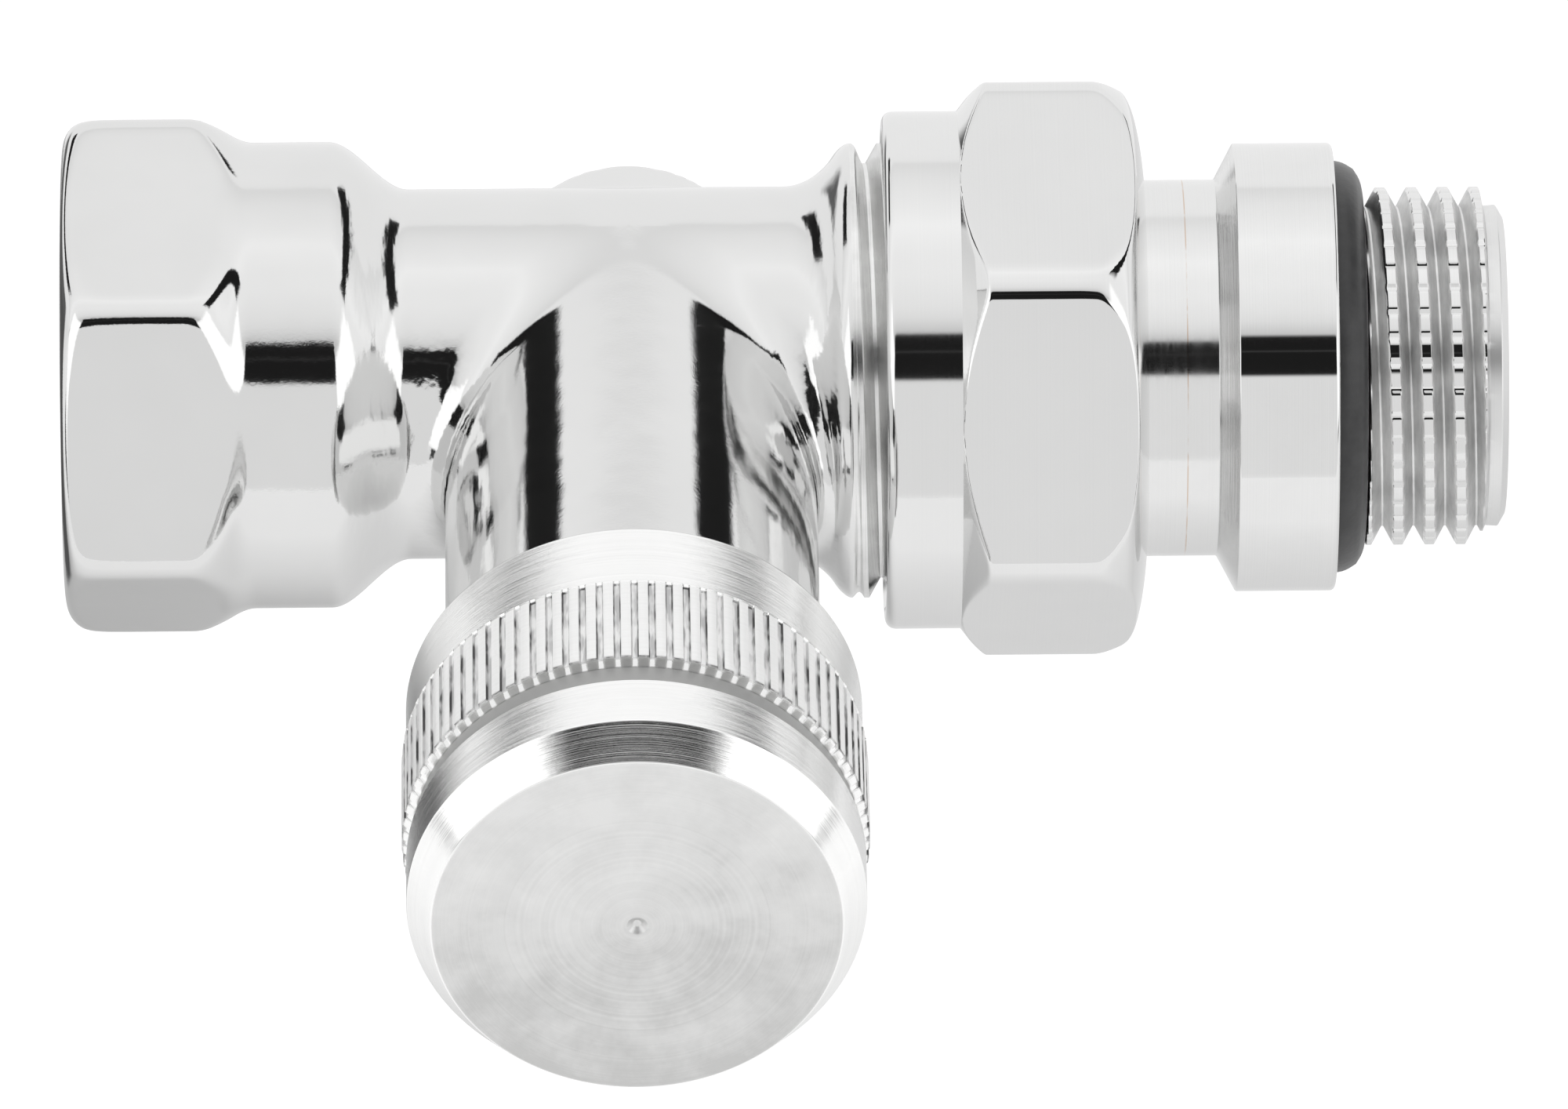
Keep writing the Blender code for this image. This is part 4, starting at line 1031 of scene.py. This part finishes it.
def buildFloor():
    side, front, back = studio["floorSide"], studio["floorFront"], studio["floorBack"]
    corners = [(-side, -front), (side, -front), (side, back), (-side, back)]
    points = [((x + branchX) * mm, y * mm, -studio["floorDrop"] * mm) for x, y in corners]
    mesh = bpy.data.meshes.new("floor")
    mesh.from_pydata(points, [], [(0, 1, 2, 3)])
    floor = bpy.data.objects.new("floor", mesh)
    bpy.context.scene.collection.objects.link(floor)
    finish, shader, place = newFinish("paleFloor", 0.0)
    shader.inputs["Roughness"].default_value = studio["roughness"]
    # painted shade: the floor is paler towards the front and darker behind, so the metal's lower
    # sides darken where they see it
    x, y, _ = millimetres(place)
    shades = zip(studio["fadeStops"], (studio["floorNear"], studio["floorFar"]))
    link(shader, "Base Color", (y / studio["floorFade"] + 0.5).shades(*shades))
    # seen by the camera or in metal, the floor gains a share of white that leaves its shadow; in
    # metal that share is less behind on the left, as painted shade
    tree = finish.node_tree
    path = tree.nodes.new("ShaderNodeLightPath")
    camera = Wire(tree, path.outputs["Is Camera Ray"])
    mirror = Wire(tree, path.outputs["Is Glossy Ray"])
    low, high = studio["mirrorWhite"]
    dimmed = 1 - x.above(studio["mirrorMiddle"], studio["mirrorSoft"])
    dimmed = dimmed * y.above(0.0, studio["mirrorBehind"])
    white = high - dimmed * (high - low)
    link(shader, "Emission Color", camera * studio["cameraWhite"] + mirror * white)
    shader.inputs["Emission Strength"].default_value = 1.0
    # painted shade: in metal, the floor's far left end is dark
    (left, behind), (leftSoft, behindSoft) = studio["darkEnd"], studio["darkSoft"]
    darkEnd = (0 - x).above(left, leftSoft) * y.above(behind, behindSoft)
    unlit = mirror.make("ShaderNodeEmission", {}, {"Color": studio["darkShade"]})
    lit = Wire(tree, shader.outputs[0])
    mixed = mirror.make("ShaderNodeMixShader", {}, {0: darkEnd * mirror, 1: lit, 2: unlit})
    tree.links.new(mixed.socket, tree.nodes["Material Output"].inputs["Surface"])
    mesh.materials.append(finish)


# Light by the angle of its direction about the pipe's axis: 0 level in front, 90 overhead, 180
# level behind. The dark strip is the camera's side, with a bright screen at each hand and a dark
# strip under each screen. A dark card stands behind at each side, with a dim corner below on the
# left.
roomLight = {
    "arc": [(-180, 0.98), (-150, 0.92), (-90, 1.00), (-24, 1.02), (-20, 0.88), (31, 0.88),
            (53, 0.66), (55, 0.74), (60, 0.90), (65, 0.965), (70, 0.995), (80, 1.045), (90, 1.055),
            (100, 1.096), (105, 1.117), (110, 1.076), (120, 1.024), (130, 0.976), (140, 0.90),
            (142, 0.89), (144.5, 0.995), (150, 1.01), (170, 0.995), (180, 0.98)],
    "most": 1.2, "dark": 0.014,
    "cameraSide": (32.5, 53.0), "cameraHalfDeg": 38.0, "cameraLine": (44.7, 45.3),
    "lineLight": 0.06,
    "screens": 1.35, "screenHeights": (-2.0, 38.0), "screenFromDeg": 96.0,
    "underScreens": 0.05, "underScreensDeg": (113.0, 129.0), "underHeights": (-10.0, -4.0),
    "backLeft": 0.12, "backLeftDeg": (26.0, 60.0), "backLeftHeights": (-60.0, -6.0),
    # the cards' heights at their middle, their rise outwards, and the slant of their inner ends;
    # the shares of the turn lift and lengthen the right card, and do the reverse on the left
    "backCards": (12.5, 28.0), "cardsMiddleDeg": 32.0, "cardsRise": 0.3, "rightLift": 0.045,
    "slantFromDeg": 25.0, "slant": 1.565, "slantAbove": 24.5, "rightSlant": 0.02,
    "cardsToDeg": 72.0, "rightLonger": 0.2,
    "softDeg": 1.0, "sideSoftDeg": 1.5, "screenSoftDeg": 3.0, "cardEndSoftDeg": 2.0,
    "cornerSoftDeg": 4.0, "lineSoftDeg": 0.3,
}


def buildRoom():
    world = bpy.data.worlds.new("paleRoom")
    bpy.context.scene.world = world
    world.use_nodes = True
    tree = world.node_tree
    background = tree.nodes["Background"]
    coords = tree.nodes.new("ShaderNodeTexCoord")
    x, y, z = splitPlace(Wire(tree, coords.outputs["Generated"]))
    degree = 180 / math.pi
    height = z.calc("ARCSINE", z) * degree
    turn = x.calc("ARCTAN2", x, y) * degree          # from +Y, towards +X
    aside = abs(turn)
    arc = z.calc("ARCTAN2", z, 0 - y) * degree
    room = roomLight
    soft, sideSoft, screenSoft = room["softDeg"], room["sideSoftDeg"], room["screenSoftDeg"]
    stops = [((angle + 180) / 360, (level / room["most"],) * 3) for angle, level in room["arc"]]
    level = (arc / 360 + 0.5).shades(*stops) * room["most"]
    sideFrom = 180 - room["cameraHalfDeg"]
    cameraLine = arc.between(*room["cameraLine"], room["lineSoftDeg"]) * room["lineLight"]
    cameraSide = arc.between(*room["cameraSide"], soft) * aside.above(sideFrom, sideSoft)
    cameraSide = cameraSide * (1 - cameraLine)
    screens = height.between(*room["screenHeights"], screenSoft)
    screens = screens * aside.between(room["screenFromDeg"], sideFrom, sideSoft)
    raised = height - (aside - room["cardsMiddleDeg"]) * room["cardsRise"]
    raised = raised - turn * room["rightLift"]
    slanted = height + (aside - room["slantFromDeg"]) * room["slant"] - turn * room["rightSlant"]
    outer = (aside - turn * room["rightLonger"]).above(room["cardsToDeg"], room["cardEndSoftDeg"])
    backCards = raised.between(*room["backCards"], soft) * (1 - outer)
    backCards = backCards * slanted.above(room["slantAbove"], sideSoft)
    underScreens = height.between(*room["underHeights"], sideSoft)
    underScreens = underScreens * aside.between(*room["underScreensDeg"], sideSoft)
    backLeft = height.between(*room["backLeftHeights"], screenSoft)
    backLeft = backLeft * (0 - turn).between(*room["backLeftDeg"], room["cornerSoftDeg"])
    shade = level * (1 - screens) + screens * room["screens"]
    shade = shade * (1 - underScreens * (1 - room["underScreens"]))
    shade = shade * (1 - backLeft * (1 - room["backLeft"]))
    shade = shade * (1 - cameraSide) * (1 - backCards) + room["dark"]
    path = tree.nodes.new("ShaderNodeLightPath")
    seen = Wire(tree, path.outputs["Is Camera Ray"])
    tree.links.new((shade * (1 - seen) + seen).socket, background.inputs["Strength"])
    background.inputs["Color"].default_value = (1, 1, 1, 1)


view = {
    "target": (41.58, -6.43, -8.446), "azimuthDeg": -0.84, "elevationDeg": 37.45, "rollDeg": 0.03,
    "distance": 1288.0, "focalPixels": 28370.0, "imageWidth": 2000, "sensor": 36.0,
}


def buildCamera():
    # the camera stands back from its target along its own axis, once that is turned and tilted
    azimuth, elevation, roll = [
        math.radians(view[key]) for key in ("azimuthDeg", "elevationDeg", "rollDeg")]
    lens = bpy.data.cameras.new("photoCamera")
    lens.sensor_width = view["sensor"]
    lens.lens = view["focalPixels"] * view["sensor"] / view["imageWidth"]
    camera = bpy.data.objects.new("photoCamera", lens)
    bpy.context.scene.collection.objects.link(camera)
    target = Matrix.Translation(Vector(view["target"]) * mm)
    turned = Matrix.Rotation(azimuth, 4, "Z") @ Matrix.Rotation(math.pi / 2 - elevation, 4, "X")
    rolled = turned @ Matrix.Rotation(roll, 4, "Z")
    camera.matrix_world = target @ rolled @ Matrix.Translation((0, 0, view["distance"] * mm))
    bpy.context.scene.camera = camera


buildFloor()
buildRoom()
buildCamera()
bpy.context.scene.view_settings.view_transform = "Standard"
print("studio set")
